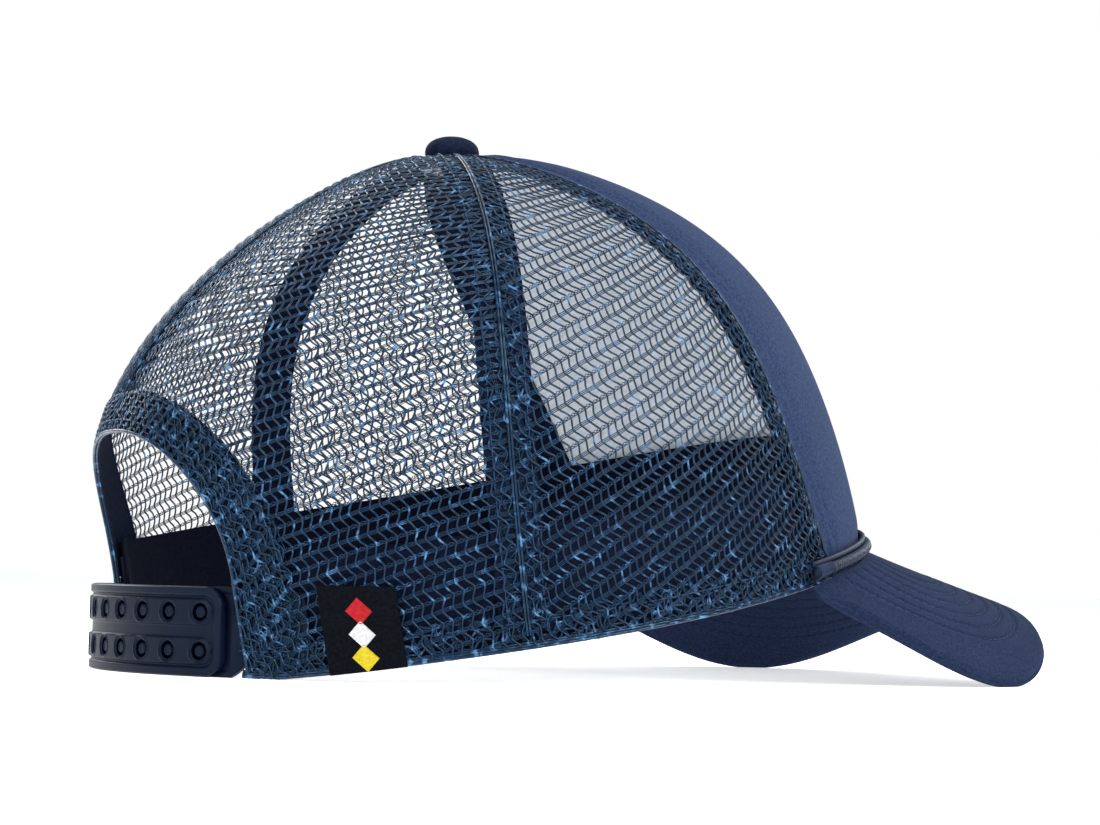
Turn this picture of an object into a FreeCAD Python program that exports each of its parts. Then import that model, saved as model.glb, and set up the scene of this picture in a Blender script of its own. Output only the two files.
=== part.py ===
import FreeCAD, Part
import math, os

# Trucker cap, mm.  +Z up, the visor points to -Y, the wearer's right side is -X.
# The crown is one smooth shell function; every panel, tape, band and strap is a
# slice of it at its own depth, so that the layers lie on one another as sewn.

os.makedirs("parts", exist_ok=True)
for old in os.listdir("parts"):
    if old.endswith(".step"):
        os.remove(os.path.join("parts", old))
V = FreeCAD.Vector
rad = math.radians

# ------------------------------------------------------------------ crown shell
A, B = 100.3, 83.05             # half length, half width of the head opening
APEX_Y, TOP = 14.4, 135.8       # where the button sits
RISE, RISE_P = 35.2, 1.43       # how far the front of the rim stands above the back
EGG, MM, SHIFT = -0.0139, 2.03, 11.96
THF0, THF1 = 49.05, 75.9        # front seam, bottom and top (degrees from the front)
THS0, THS1 = 104.9, 100.9       # side seam
ARCH_W, ARCH_H, ARCH_Z = 46.0, 58.8, 22.0
PHI_TOP = 86.2


def spow(v, e):
    return math.copysign(abs(v) ** e, v)


def rim_z(th):
    t = (1 + math.cos(th)) / 2
    return RISE * t ** RISE_P - 2.2 * math.exp(-(t / 0.2) ** 2)


def S(th, phi):
    """Point of the crown at angle th round the head, phi up the meridian (radians)."""
    c = math.cos(th)
    wf, wb = max(c, 0) ** 2, max(-c, 0) ** 2
    ws = 1 - wf - wb
    n = 2.1935 * wf + 1.9313 * ws + 1.7915 * wb
    bb = 0.0413 * wf + 0.1833 * ws + 0.0302 * wb
    cc = -0.0053 * wf - 0.015 * ws + 0.0682 * wb
    rho = max(math.cos(phi), 0) ** (2 / n) + bb * math.sin(2 * phi) ** 2 \
        + cc * math.sin(4 * phi) * math.sin(2 * phi)
    zeta = math.sin(phi) ** (2 / n) if phi > 0 else 0.0
    m = 2 / MM
    xr = -B * spow(math.sin(th), m) * (1 - EGG * c)
    yr = -A * spow(c, m)
    z0 = rim_z(th)
    return V(xr * rho, APEX_Y * (1 - rho) + yr * rho + SHIFT * math.sin(2 * phi),
             z0 + (TOP - z0) * zeta)


def N(th, phi):
    """Outward unit normal of the crown."""
    e = 0.004
    phi = max(phi, 0.03)
    n = (S(th + e, phi) - S(th - e, phi)).cross(S(th, phi + e) - S(th, phi - e))
    n.normalize()
    p = S(th, phi)
    if n.dot(V(p.x, p.y - APEX_Y, max(p.z - 30, 1))) < 0:
        n = n.multiply(-1)
    return n


def crown(th, phi, off):
    p, n = S(th, phi), N(th, phi)
    return V(p.x + n.x * off, p.y + n.y * off, p.z + n.z * off)


def phi_at(th, z, off=0.0):
    lo, hi = 0.0, math.pi / 2
    for _ in range(40):
        mid = (lo + hi) / 2
        if S(th, mid).z < z:
            lo = mid
        else:
            hi = mid
    return lo


def th_front(phi):
    return rad(THF0 + (THF1 - THF0) * min(math.degrees(phi) / 88, 1))


def th_side(phi):
    return rad(THS0 + (THS1 - THS0) * min(math.degrees(phi) / 88, 1))


# ------------------------------------------------------------------ solids from grids
def surface(grid):
    s = Part.BSplineSurface()
    s.interpolate(grid)
    return s.toShape()


def shell_solid(outer, inner):
    """Closed solid between two grids of points with matching borders."""
    fo, fi = surface(outer), surface(inner)
    faces = [fo, fi]

    def border(grid):
        rows = [grid[0], grid[-1], [r[0] for r in grid], [r[-1] for r in grid]]
        return rows
    eo, ei = list(fo.Edges), list(fi.Edges)
    for a in eo:
        am = a.valueAt((a.FirstParameter + a.LastParameter) / 2)
        b = min(ei, key=lambda q: (q.valueAt((q.FirstParameter + q.LastParameter) / 2) - am).Length)
        faces.append(Part.makeRuledSurface(a, b))
    comp = Part.Compound(faces)
    comp.sewShape(0.02)
    sh = comp.Shells[0] if comp.Shells else Part.makeShell(faces)
    sol = Part.makeSolid(sh)
    if sol.Volume < 0:
        sol.reverse()
    return sol


def layer(point, u0, u1, nu, v0, v1, nv, off_out, off_in):
    """point(u, v, off) -> Vector; offsets may be numbers or functions of (u, v)."""
    fo = off_out if callable(off_out) else (lambda u, v: off_out)
    fi = off_in if callable(off_in) else (lambda u, v: off_in)
    us = [u0 + (u1 - u0) * i / (nu - 1) for i in range(nu)]
    vs = [v0 + (v1 - v0) * j / (nv - 1) for j in range(nv)]
    go = [[point(u, v, fo(u, v)) for v in vs] for u in us]
    gi = [[point(u, v, fi(u, v)) for v in vs] for u in us]
    return shell_solid(go, gi)


def ease(x):
    x = min(max(x, 0.0), 1.0)
    return x * x * (3 - 2 * x)


FLOOR = Part.makeBox(600, 600, 60, V(-300, -300, -60))


def above_floor(s):
    r = s.cut(FLOOR)
    return biggest(r)


def biggest(s):
    if len(s.Solids) > 1:
        return max(s.Solids, key=lambda q: q.Volume)
    return s.Solids[0] if s.Solids else s


def mirrored(s):
    return s.mirror(V(0, 0, 0), V(1, 0, 0))


parts = {}

# ------------------------------------------------------------------ front foam panel
P_END = rad(PHI_TOP)


def front_pt(u, v, off):
    phi = P_END * v
    return crown(u * (th_front(phi) - 0.2 / 90), phi, off)


def foam_off(u, v):
    e = min(ease((1 - abs(u)) / 0.14), ease((1 - v) / 0.16), ease(v / 0.12))
    return 0.1 + 1.3 * e


parts["front_panel"] = layer(front_pt, -1, 1, 25, 0, 1, 19, foam_off, -1.5)

# ------------------------------------------------------------------ mesh panels
MESH_T = 0.8


def side_pt(u, v, off):
    phi = P_END * v
    a, b = th_front(phi) + 0.2 / 90, th_side(phi) - 0.15 / 90
    return crown(a + (b - a) * u, phi, off)


parts["mesh_panel_side_right"] = layer(side_pt, 0, 1, 13, 0, 1, 19, 0.0, -MESH_T)
parts["mesh_panel_side_left"] = mirrored(parts["mesh_panel_side_right"])


def back_pt(u, v, off):
    phi = P_END * v
    a, b = th_side(phi) + 0.15 / 90, math.pi - 0.15 / 90
    return crown(a + (b - a) * u, phi, off)


def arch_prism(grow=0.0, z_low=-20.0, y0=20.0):
    """Tall prism along +Y with the shape of the opening at the back."""
    pts, n = [], 24
    w0 = ARCH_W + grow
    for i in range(n + 1):
        t = math.pi * i / n
        w = w0 * spow(math.cos(t), 0.85)
        z = ARCH_Z + (ARCH_H + grow - ARCH_Z) * math.sin(t) ** 0.9
        pts.append(V(w, y0, z))
    curve = Part.BSplineCurve()
    curve.interpolate(pts)
    e = curve.toShape()
    a, b = V(-w0, y0, z_low), V(w0, y0, z_low)
    wire = Part.Wire([e, Part.makeLine(pts[-1], a), Part.makeLine(a, b), Part.makeLine(b, pts[0])])
    return Part.Face(wire).extrude(V(0, 160, 0))


ARCH = arch_prism()
back = layer(back_pt, 0, 1, 21, 0, 1, 21, 0.0, -MESH_T)
parts["mesh_panel_back_right"] = above_floor(back.cut(ARCH))
parts["mesh_panel_back_left"] = mirrored(parts["mesh_panel_back_right"])

# ------------------------------------------------------------------ seam tapes


def tape(th_fn, half, z0, r_stop, o_out, o_in, n=23):
    """Strip along a seam; the half width is in mm, the strip stops r_stop mm off the button."""
    p_lo = phi_at(th_fn(0.3), z0)
    lo, hi = 1.0, math.pi / 2
    for _ in range(40):
        mid = (lo + hi) / 2
        p = S(th_fn(mid), mid)
        r = math.hypot(p.x, p.y - APEX_Y)
        if r > r_stop:
            lo = mid
        else:
            hi = mid
    p_hi = lo

    def pt(u, v, off):
        phi = p_lo + (p_hi - p_lo) * v
        th = th_fn(phi)
        e = 0.004
        a, b = S(th - e, phi), S(th + e, phi)
        per = (b - a).Length / (2 * e)
        return crown(th + u * half / per, phi, off)
    return layer(pt, -1, 1, 5, 0, 1, n, o_out, o_in)


parts["seam_tape_front_right"] = tape(th_front, 5.0, 38.0, 9.0, -1.65, -2.05)
parts["seam_tape_front_left"] = mirrored(parts["seam_tape_front_right"])
parts["seam_tape_side_right"] = tape(th_side, 6.5, 12.5, 12.0, -0.9, -1.35)
parts["seam_tape_side_left"] = mirrored(parts["seam_tape_side_right"])
parts["seam_tape_center_back"] = tape(lambda p: math.pi, 6.5, ARCH_H + 13.5, 12.0, -0.9, -1.35)

# ------------------------------------------------------------------ binding of the opening


def bind_pt(u, v, off):
    return crown(math.pi + u * rad(60), P_END * (0.02 + 0.80 * v), off)


strip = layer(bind_pt, -1, 1, 25, 0, 1, 17, -0.9, -1.6)
ring = arch_prism(11.0).cut(arch_prism(0.0))
ring = ring.cut(Part.makeBox(300, 300, 100, V(-150, -150, ARCH_Z + 0.8 - 100)))
parts["back_opening_binding"] = biggest(strip.common(ring))

# ------------------------------------------------------------------ sweatband
TH_END = rad(146.3)


def band_pt(height, z_gap):
    def pt(u, v, off):
        th = u * TH_END
        z0 = max(rim_z(th), 0.0) + z_gap
        phi = phi_at(th, z0 + (height - z_gap) * v)
        return crown(th, phi, off)
    return pt


parts["sweatband_interlining"] = above_floor(
    layer(band_pt(28.0, 3.0), -1, 1, 41, 0, 1, 7, -2.45, -3.2))
parts["sweatband"] = above_floor(
    layer(band_pt(33.0, 0.4), -1, 1, 41, 0, 1, 7, -3.3, -4.1))

# ------------------------------------------------------------------ visor
THV = rad(57)
VL, VW, VS, VE, VK = 97.4, 74.5, 0.306, 2.9, -22.0


def visor_edge(s):
    ang = s * math.pi / 2
    p0 = S(THV, 0)
    return (-VW * spow(math.sin(ang), 2 / VE), p0.y - 0.6 - VL * abs(math.cos(ang)) ** (2 / VE))


P0, PC = S(THV, 0), S(0, 0)
KX = (PC.z + VS * (P0.y - PC.y) - P0.z) / P0.x ** 2


def zplane(x, y):
    return PC.z + VS * (y - PC.y) - KX * x * x


def visor_mid(s, t):
    th = s * THV
    r = S(th, 0)
    n = V(r.x / B ** 2, r.y / A ** 2, 0)
    n.normalize()
    ix, iy = r.x + n.x * 0.9, r.y + n.y * 0.9
    ox, oy = visor_edge(s)
    x, y = ix * (1 - t) + ox * t, iy * (1 - t) + oy * t
    droop = VK * t * abs(x / VW) ** 4 * ease((P0.y - y) / 112.0)
    z = zplane(x, y) + (r.z - zplane(ix, iy)) * (1 - t) ** 2 + droop
    return V(x, y, z + 1.2 * t)


def visor_pt(s, t, off):
    e = 0.01
    a = visor_mid(min(s + e, 1), t) - visor_mid(max(s - e, -1), t)
    b = visor_mid(s, min(t + e, 1)) - visor_mid(s, max(t - e, 0))
    if abs(s) > 0.985:
        q = math.copysign(0.985, s)
        a = visor_mid(q + e, t) - visor_mid(q - e, t)
        b = visor_mid(q, min(t + e, 1)) - visor_mid(q, max(t - e, 0))
    n = a.cross(b)
    n.normalize()
    if n.z < 0:
        n = n.multiply(-1)
    p = visor_mid(s, t)
    return V(p.x + n.x * off, p.y + n.y * off, p.z + n.z * off)


def edge_near(s, t):
    """1 in the body of the visor, 0 at its outer edge."""
    return ease((1 - t) / 0.05) * ease((1 - abs(s)) / 0.03)


NS, NT = 33, 13
parts["visor_board"] = layer(lambda s, t, o: visor_pt(s * 0.95, t * 0.94, o), -1, 1, NS, 0.03, 1, NT, 0.68, -0.68)
parts["visor_cover_top"] = layer(visor_pt, -1, 1, NS, 0, 1, NT,
                                 lambda s, t: 0.75 + 1.15 * edge_near(s, t),
                                 lambda s, t: 0.1 + 0.85 * edge_near(s, t))
parts["visor_cover_bottom"] = layer(visor_pt, -1, 1, NS, 0, 1, NT,
                                    lambda s, t: -0.1 - 0.85 * edge_near(s, t),
                                    lambda s, t: -0.75 - 1.15 * edge_near(s, t))

# ------------------------------------------------------------------ rope and its tacks
ROPE_R = 1.45


def rope_point(th):
    r = S(th, 0)
    n = V(r.x / B ** 2, r.y / A ** 2, 0)
    n.normalize()
    return V(r.x + n.x * 1.9, r.y + n.y * 1.9, r.z + 4.1)


THR = rad(57.5)
pts = [rope_point(-THR + 2 * THR * i / 30) for i in range(31)]
c = Part.BSplineCurve()
c.interpolate(pts)
path = Part.Wire([c.toShape()])
t0 = c.tangent(c.FirstParameter)[0]
circ = Part.Wire([Part.makeCircle(ROPE_R, pts[0], t0)])
rope = path.makePipeShell([circ], True, False)
rope = Part.makeSolid(rope.Shells[0])
if rope.Volume < 0:
    rope.reverse()
parts["visor_rope"] = rope


def tack(th):
    p, q = rope_point(th), rope_point(th - 0.012)
    d = q - p
    d.normalize()
    base = V(p.x - d.x * 2.6, p.y - d.y * 2.6, p.z - d.z * 2.6)
    return Part.makeCylinder(2.0, 5.2, base, d).cut(Part.makeCylinder(1.6, 7, V(base.x - d.x, base.y - d.y, base.z - d.z), d))


tk = tack(rad(55))
parts["rope_tacks"] = Part.Compound([tk, mirrored(tk)])

# ------------------------------------------------------------------ button


def revolve(pts):
    w = Part.makePolygon([V(r, 0, z) for r, z in pts] + [V(pts[0][0], 0, pts[0][1])])
    s = Part.Face(w).revolve(V(0, 0, 0), V(0, 0, 1), 360)
    s.translate(V(0, APEX_Y, 0))
    return s


def dome(r, h, z0, n=10):
    return [(r * math.cos(rad(90 * i / n)) if i < n else 0.0,
             z0 + h * math.sin(rad(90 * i / n)) ** 0.8) for i in range(n + 1)]


ZB = TOP + 0.25
out, inn = dome(7.1, 4.7, ZB + 0.25), dome(6.55, 4.15, ZB + 0.25)
parts["button_cover"] = revolve([(7.1, ZB - 0.35)] + out + inn[::-1] + [(6.55, ZB - 0.35)])
out, inn = dome(6.45, 4.05, ZB + 0.2), dome(6.0, 3.6, ZB + 0.2)
parts["button_shell"] = revolve([(6.45, ZB - 0.2)] + out + inn[::-1] + [(6.0, ZB - 0.2)])
parts["button_rivet"] = revolve([(0, TOP - 4.6), (2.6, TOP - 4.6), (2.6, TOP - 4.2), (1.4, TOP - 4.0),
                                 (1.4, TOP + 1.4), (5.6, TOP + 1.5), (5.6, TOP + 2.0), (0, TOP + 2.0)])
parts["button_back_disc"] = revolve([(1.5, TOP - 3.9), (8.2, TOP - 4.1), (8.2, TOP - 3.6), (1.5, TOP - 3.2)])

# ------------------------------------------------------------------ closure straps
ZS0, ZS1 = 0.0, 21.4
ZMID = 11.0


def strap_xy(th, off):
    ph = phi_at(th, ZMID)
    p = S(th, ph)
    e = 0.01
    a, b = S(th - e, phi_at(th - e, ZMID)), S(th + e, phi_at(th + e, ZMID))
    t = V(b.x - a.x, b.y - a.y, 0)
    t.normalize()
    n = V(t.y, -t.x, 0)
    if n.x * p.x + n.y * p.y < 0:
        n = n.multiply(-1)
    return V(p.x + n.x * off, p.y + n.y * off, 0)


def strap_band(a, b, out_fn, in_fn, z0, z1, n=25):
    """Vertical band between two offsets, from angle a to angle b (degrees)."""
    ths = [rad(a + (b - a) * i / (n - 1)) for i in range(n)]
    po = [strap_xy(t, out_fn(math.degrees(t))) for t in ths]
    pi = [strap_xy(t, in_fn(math.degrees(t))) for t in ths]
    co, ci = Part.BSplineCurve(), Part.BSplineCurve()
    co.interpolate(po)
    ci.interpolate(pi)
    w = Part.Wire([co.toShape(), Part.makeLine(po[-1], pi[-1]), ci.toShape(), Part.makeLine(pi[0], po[0])])
    s = Part.Face(Part.Wire(Part.__sortEdges__(w.Edges)))
    if s.normalAt(0.5, 0.5).z < 0:
        s.reverse()
    s = s.extrude(V(0, 0, z1 - z0))
    s.translate(V(0, 0, z0))
    return outward(s)


def outward(s):
    s = s.Solids[0] if len(s.Solids) == 1 else s
    if s.Volume < 0:
        s = s.copy()
        s.reverse()
    return s


def round_end(s, th, radius, z0, z1):
    """Round the two corners of the free end that lies at angle th (degrees)."""
    p = strap_xy(rad(th), 0.0)
    sel = []
    for e in s.Edges:
        m = e.valueAt((e.FirstParameter + e.LastParameter) / 2)
        if math.hypot(m.x - p.x, m.y - p.y) < 2.5 and e.Length < 4.0 and (abs(m.z - z0) < 0.01 or abs(m.z - z1) < 0.01):
            sel.append(e)
    return s.makeFillet(radius, sel) if sel else s


# outer strap: rooted on the wearer's left, two rows of recessed holes
L_ROOT, L_FREE = 212.0, 148.6


def o_in(d):
    return -0.25 - 1.5 * ease((d - 199.0) / 11.0)


def o_out(d):
    return o_in(d) + 1.6


outer = strap_band(L_FREE, L_ROOT, o_out, o_in, ZS0, ZS1, 41)
outer = round_end(outer, L_FREE, 5.0, ZS0, ZS1)
rim_o = strap_band(L_FREE + 0.05, L_ROOT - 14, lambda d: o_out(d) + 0.55, lambda d: o_out(d) - 0.4,
                   ZS0 + 0.06, ZS1 - 0.06, 35)
rim_o = round_end(rim_o, L_FREE + 0.05, 4.95, ZS0 + 0.06, ZS1 - 0.06)
rim_i = strap_band(L_FREE + 1.7, L_ROOT - 8, lambda d: o_out(d) + 3, lambda d: o_out(d) - 1.0,
                   ZS0 + 1.9, ZS1 - 1.9, 35)
rim_i = round_end(rim_i, L_FREE + 1.7, 3.6, ZS0 + 1.9, ZS1 - 1.9)
outer = outward(outer.fuse(outward(rim_o.cut(rim_i))))
HOLE_TH = [152.8 + 6.55 * i for i in range(7)]
ROWS = (6.1, 15.3)
for zr in ROWS:
    pad = strap_band(HOLE_TH[0] - 2.4, HOLE_TH[-1] + 2.6, lambda d: o_out(d) + 0.7, lambda d: o_out(d) - 0.5,
                     zr - 3.35, zr + 3.35, 25)
    pad = round_end(pad, HOLE_TH[0] - 2.4, 3.0, zr - 3.35, zr + 3.35)
    outer = outward(outer.fuse(pad))


def radial(th_deg, z, r, o0, o1):
    a, b = strap_xy(rad(th_deg), o0), strap_xy(rad(th_deg), o1)
    d = b - a
    ln = d.Length
    d.normalize()
    return Part.makeCylinder(r, ln, V(a.x, a.y, z), d)


for zr in ROWS:
    for th in HOLE_TH:
        outer = outer.cut(radial(th, zr, 2.05, -3, 6))
        outer = outer.cut(radial(th, zr, 2.55, o_out(th) + 0.25, 6))
parts["snap_strap_holes"] = biggest(outer)

# inner strap: rooted on the wearer's right, two rows of pegs
R_ROOT, R_FREE = 147.9, 197.6


def i_out(d):
    return -0.65


inner = strap_band(R_ROOT, R_FREE, i_out, lambda d: -2.05, ZS0, ZS1, 35)
inner = round_end(inner, R_FREE, 5.0, ZS0, ZS1)
for zr in ROWS:
    for th in HOLE_TH:
        peg = radial(th, zr, 1.4, -1.4, 1.55)
        inner = inner.fuse(peg)
parts["snap_strap_pegs"] = biggest(inner)



# tabs of the two straps, sewn between the mesh and the sweatband
def tab_pt(u, v, off):
    th = rad(135.0 + 11.5 * u)
    return crown(th, phi_at(th, 3.0 + 17.4 * v), off)


parts["strap_tab_right"] = layer(tab_pt, 0, 1, 9, 0, 1, 5, -1.0, -2.2)
parts["strap_tab_left"] = mirrored(parts["strap_tab_right"])

# ------------------------------------------------------------------ woven label
# one strip of ribbon: it lies on the mesh, folds under the rim and ends inside
LAB0, LAB1, LAB_Z = 121.7, 132.8, 22.4


def label_section(th):
    z0 = rim_z(th)
    p_lo, p_hi = phi_at(th, z0 + 0.05), phi_at(th, LAB_Z)
    n = 7
    ph = [p_lo + (p_hi - p_lo) * i / (n - 1) for i in range(n)]
    front_o = [crown(th, p, 0.62) for p in ph]
    front_i = [crown(th, p, 0.15) for p in ph]
    back_hi = phi_at(th, z0 + 9.0)
    pb = [p_lo + (back_hi - p_lo) * i / 3 for i in range(4)]
    back_i = [crown(th, p, -1.0) for p in pb]
    back_o = [crown(th, p, -1.4) for p in pb]
    d = 0.15
    low_i = [V(front_i[0].x, front_i[0].y, front_i[0].z - d), V(back_i[0].x, back_i[0].y, back_i[0].z - d)]
    low_o = [V(back_o[0].x, back_o[0].y, back_o[0].z - d - 0.4), V(front_o[0].x, front_o[0].y, front_o[0].z - d - 0.4)]
    loop = front_o + front_i[::-1] + low_i + back_i[1:] + back_o[::-1][:-1] + low_o
    base, t = S(th, p_lo), S(th + 0.01, p_lo) - S(th - 0.01, p_lo)
    t = V(t.x, t.y, 0)
    t.normalize()
    flat = []
    for q in loop:
        k = (q.x - base.x) * t.x + (q.y - base.y) * t.y
        flat.append(V(q.x - t.x * k, q.y - t.y * k, q.z))
    return Part.makePolygon(flat + [flat[0]])


secs = [label_section(rad(LAB0 + (LAB1 - LAB0) * i / 6)) for i in range(7)]
parts["side_label"] = Part.makeLoft(secs, True, True)

# ------------------------------------------------------------------ place and write
box = None
for s in parts.values():
    b = s.optimalBoundingBox(False, False)
    box = FreeCAD.BoundBox(b) if box is None else box.united(b)
DX, DY, DZ = 0.0, -(box.YMin + box.YMax) / 2, -box.ZMin
print("bbox", [round(q, 2) for q in (box.XMin, box.XMax, box.YMin, box.YMax, box.ZMin, box.ZMax)],
      "shift", round(DX, 3), round(DY, 3), round(DZ, 3))
for name, s in sorted(parts.items()):
    s = s.copy()
    s.translate(V(DX, DY, DZ))
    ok = s.isValid()
    print("%-26s valid %s solids %d vol %.1f z %.2f..%.2f" % (name, ok, len(s.Solids), s.Volume, *(lambda b: (b.ZMin, b.ZMax))(s.optimalBoundingBox(False, False))))
    s.exportStep("parts/%s.step" % name)
hp = strap_xy(rad(L_ROOT), o_out(L_ROOT))
hq = strap_xy(rad(R_ROOT), -2.05)
print("hinge left", hp.x + DX, hp.y + DY, "hinge right", hq.x + DX, hq.y + DY)
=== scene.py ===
import bpy, math, random
import numpy as np
from mathutils import Vector, Matrix


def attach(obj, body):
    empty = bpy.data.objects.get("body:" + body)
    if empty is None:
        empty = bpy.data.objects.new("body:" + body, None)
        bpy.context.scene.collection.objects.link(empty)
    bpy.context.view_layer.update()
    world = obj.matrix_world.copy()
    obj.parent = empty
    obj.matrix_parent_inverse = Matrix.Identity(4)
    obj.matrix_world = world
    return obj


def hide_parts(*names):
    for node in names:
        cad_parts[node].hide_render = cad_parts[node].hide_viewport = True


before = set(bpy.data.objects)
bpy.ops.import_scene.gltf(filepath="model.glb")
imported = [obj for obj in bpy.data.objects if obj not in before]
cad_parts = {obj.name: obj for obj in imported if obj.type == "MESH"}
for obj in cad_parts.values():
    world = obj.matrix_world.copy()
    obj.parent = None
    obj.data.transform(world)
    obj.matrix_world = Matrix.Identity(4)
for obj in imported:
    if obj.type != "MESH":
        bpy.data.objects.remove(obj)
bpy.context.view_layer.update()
random.seed(7)
RNG = np.random.default_rng(7)
DY = 23.985
rad = math.radians

# ================================================================ crown function (mm, CAD shape)
A, B = 100.3, 83.05
APEX_Y, TOP = 14.4, 135.8
RISE, RISE_P = 35.2, 1.43
EGG, MM, SHIFT = -0.0139, 2.03, 11.96
THF0, THF1 = 49.05, 75.9
THS0, THS1 = 104.9, 100.9
ARCH_W, ARCH_H, ARCH_Z = 46.0, 58.8, 22.0
P_END = rad(86.2)


def spow(v, e):
    return np.sign(v) * np.abs(v) ** e


def rim_z(th):
    t = (1 + np.cos(th)) / 2
    return RISE * t ** RISE_P - 2.2 * np.exp(-(t / 0.2) ** 2)


def S(th, phi):
    th, phi = np.broadcast_arrays(np.asarray(th, float), np.asarray(phi, float))
    c = np.cos(th)
    wf, wb = np.clip(c, 0, 1) ** 2, np.clip(-c, 0, 1) ** 2
    ws = 1 - wf - wb
    n = 2.1935 * wf + 1.9313 * ws + 1.7915 * wb
    bb = 0.0413 * wf + 0.1833 * ws + 0.0302 * wb
    cc = -0.0053 * wf - 0.015 * ws + 0.0682 * wb
    rho = np.clip(np.cos(phi), 0, 1) ** (2 / n) + bb * np.sin(2 * phi) ** 2 + cc * np.sin(4 * phi) * np.sin(2 * phi)
    zeta = np.clip(np.sin(phi), 0, 1) ** (2 / n)
    m = 2 / MM
    xr = -B * spow(np.sin(th), m) * (1 - EGG * c)
    yr = -A * spow(c, m)
    z0 = rim_z(th)
    return np.stack([xr * rho, APEX_Y * (1 - rho) + yr * rho + SHIFT * np.sin(2 * phi), z0 + (TOP - z0) * zeta], -1)


def NRM(th, phi):
    th, phi = np.broadcast_arrays(np.asarray(th, float), np.asarray(phi, float))
    phi = np.maximum(phi, 0.03)
    e = 0.004
    n = np.cross(S(th + e, phi) - S(th - e, phi), S(th, phi + e) - S(th, phi - e))
    n /= np.linalg.norm(n, axis=-1, keepdims=True) + 1e-12
    p = S(th, phi)
    w = p.copy()
    w[..., 1] -= APEX_Y
    w[..., 2] = np.maximum(p[..., 2] - 30, 1)
    s = np.where((n * w).sum(-1) < 0, -1.0, 1.0)
    return n * s[..., None]


def crown(th, phi, off):
    off = np.asarray(off, float)
    return S(th, phi) + NRM(th, phi) * (off[..., None] if off.ndim else off)


def m3(p):
    """mm in the shape's own frame -> metres in the row frame"""
    q = np.array(p, float)
    q[..., 1] += DY
    return q * 0.001


def phi_at(th, z):
    th, z = np.broadcast_arrays(np.asarray(th, float), np.asarray(z, float))
    lo, hi = np.zeros(th.shape), np.full(th.shape, math.pi / 2)
    for _ in range(34):
        mid = (lo + hi) / 2
        low = S(th, mid)[..., 2] < z
        lo, hi = np.where(low, mid, lo), np.where(low, hi, mid)
    return lo


def th_front(phi):
    return np.radians(THF0 + (THF1 - THF0) * np.minimum(np.degrees(phi) / 88, 1))


def th_side(phi):
    return np.radians(THS0 + (THS1 - THS0) * np.minimum(np.degrees(phi) / 88, 1))


def ease(x):
    x = np.clip(x, 0, 1)
    return x * x * (3 - 2 * x)


# ================================================================ mesh helpers
def make_mesh(name, verts, faces, mat, uv=None, smooth=True, body="cap", mats=None, face_mat=None):
    """verts in metres, faces (n, k) index array"""
    verts = np.asarray(verts, np.float32).reshape(-1, 3)
    faces = np.asarray(faces, np.int32)
    me = bpy.data.meshes.new(name)
    k = faces.shape[1]
    me.vertices.add(len(verts))
    me.vertices.foreach_set("co", verts.ravel())
    me.loops.add(faces.size)
    me.loops.foreach_set("vertex_index", faces.ravel())
    me.polygons.add(len(faces))
    me.polygons.foreach_set("loop_start", np.arange(0, faces.size, k, dtype=np.int32))
    try:
        me.polygons.foreach_set("loop_total", np.full(len(faces), k, np.int32))
    except Exception:
        pass
    me.polygons.foreach_set("use_smooth", np.full(len(faces), smooth))
    if face_mat is not None:
        me.polygons.foreach_set("material_index", np.asarray(face_mat, np.int32))
    if uv is not None:
        layer = me.uv_layers.new(name="OFBake")
        uvv = np.asarray(uv, np.float32).reshape(-1, 2)[faces.ravel()]
        layer.data.foreach_set("uv", uvv.ravel())
    me.update(calc_edges=True)
    me.validate()
    o = bpy.data.objects.new(name, me)
    bpy.context.scene.collection.objects.link(o)
    for q in (mats or [mat]):
        me.materials.append(q)
    if body:
        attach(o, body)
    return o


def grid_idx(nu, nv, start=0, closed_u=False):
    i = np.arange(nu if closed_u else nu - 1)[:, None]
    j = np.arange(nv - 1)[None, :]
    i2 = (i + 1) % nu
    a = start + i * nv + j
    b = start + i2 * nv + j
    c = start + i2 * nv + j + 1
    d = start + i * nv + j + 1
    return np.stack([a, b, c, d], -1).reshape(-1, 4)


def slab(name, outer, inner, mat, body="cap", uv_scale=None):
    """Closed thin solid between two point grids (nu, nv, 3) in mm."""
    nu, nv = outer.shape[:2]
    fo = grid_idx(nu, nv)
    fi = grid_idx(nu, nv, nu * nv)[:, ::-1]
    walls = []

    def wall(ids):
        ids = np.asarray(ids)
        a, b = ids[:-1], ids[1:]
        walls.append(np.stack([b, a, a + nu * nv, b + nu * nv], -1))
    wall(np.arange(nv))
    wall((nu - 1) * nv + np.arange(nv)[::-1])
    wall((np.arange(nu) * nv)[::-1])
    wall(np.arange(nu) * nv + nv - 1)
    faces = np.concatenate([fo, fi] + walls)
    v = np.concatenate([m3(outer).reshape(-1, 3), m3(inner).reshape(-1, 3)])
    u, w = np.meshgrid(np.linspace(0, 1, nu), np.linspace(0, 1, nv), indexing="ij")
    uv1 = np.stack([u * 0.49 + 0.005, w * 0.98 + 0.01], -1).reshape(-1, 2)
    uv2 = np.stack([u * 0.49 + 0.505, w * 0.98 + 0.01], -1).reshape(-1, 2)
    # outside check
    f0 = faces[len(fo) // 2]
    n = np.cross(v[f0[1]] - v[f0[0]], v[f0[2]] - v[f0[0]])
    d = v[f0[0]] - v[f0[0] + nu * nv] if f0[0] < nu * nv else None
    if d is not None and np.dot(n, d) < 0:
        faces = faces[:, ::-1]
    return make_mesh(name, v, faces, mat, uv=np.concatenate([uv1, uv2]), body=body)


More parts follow.
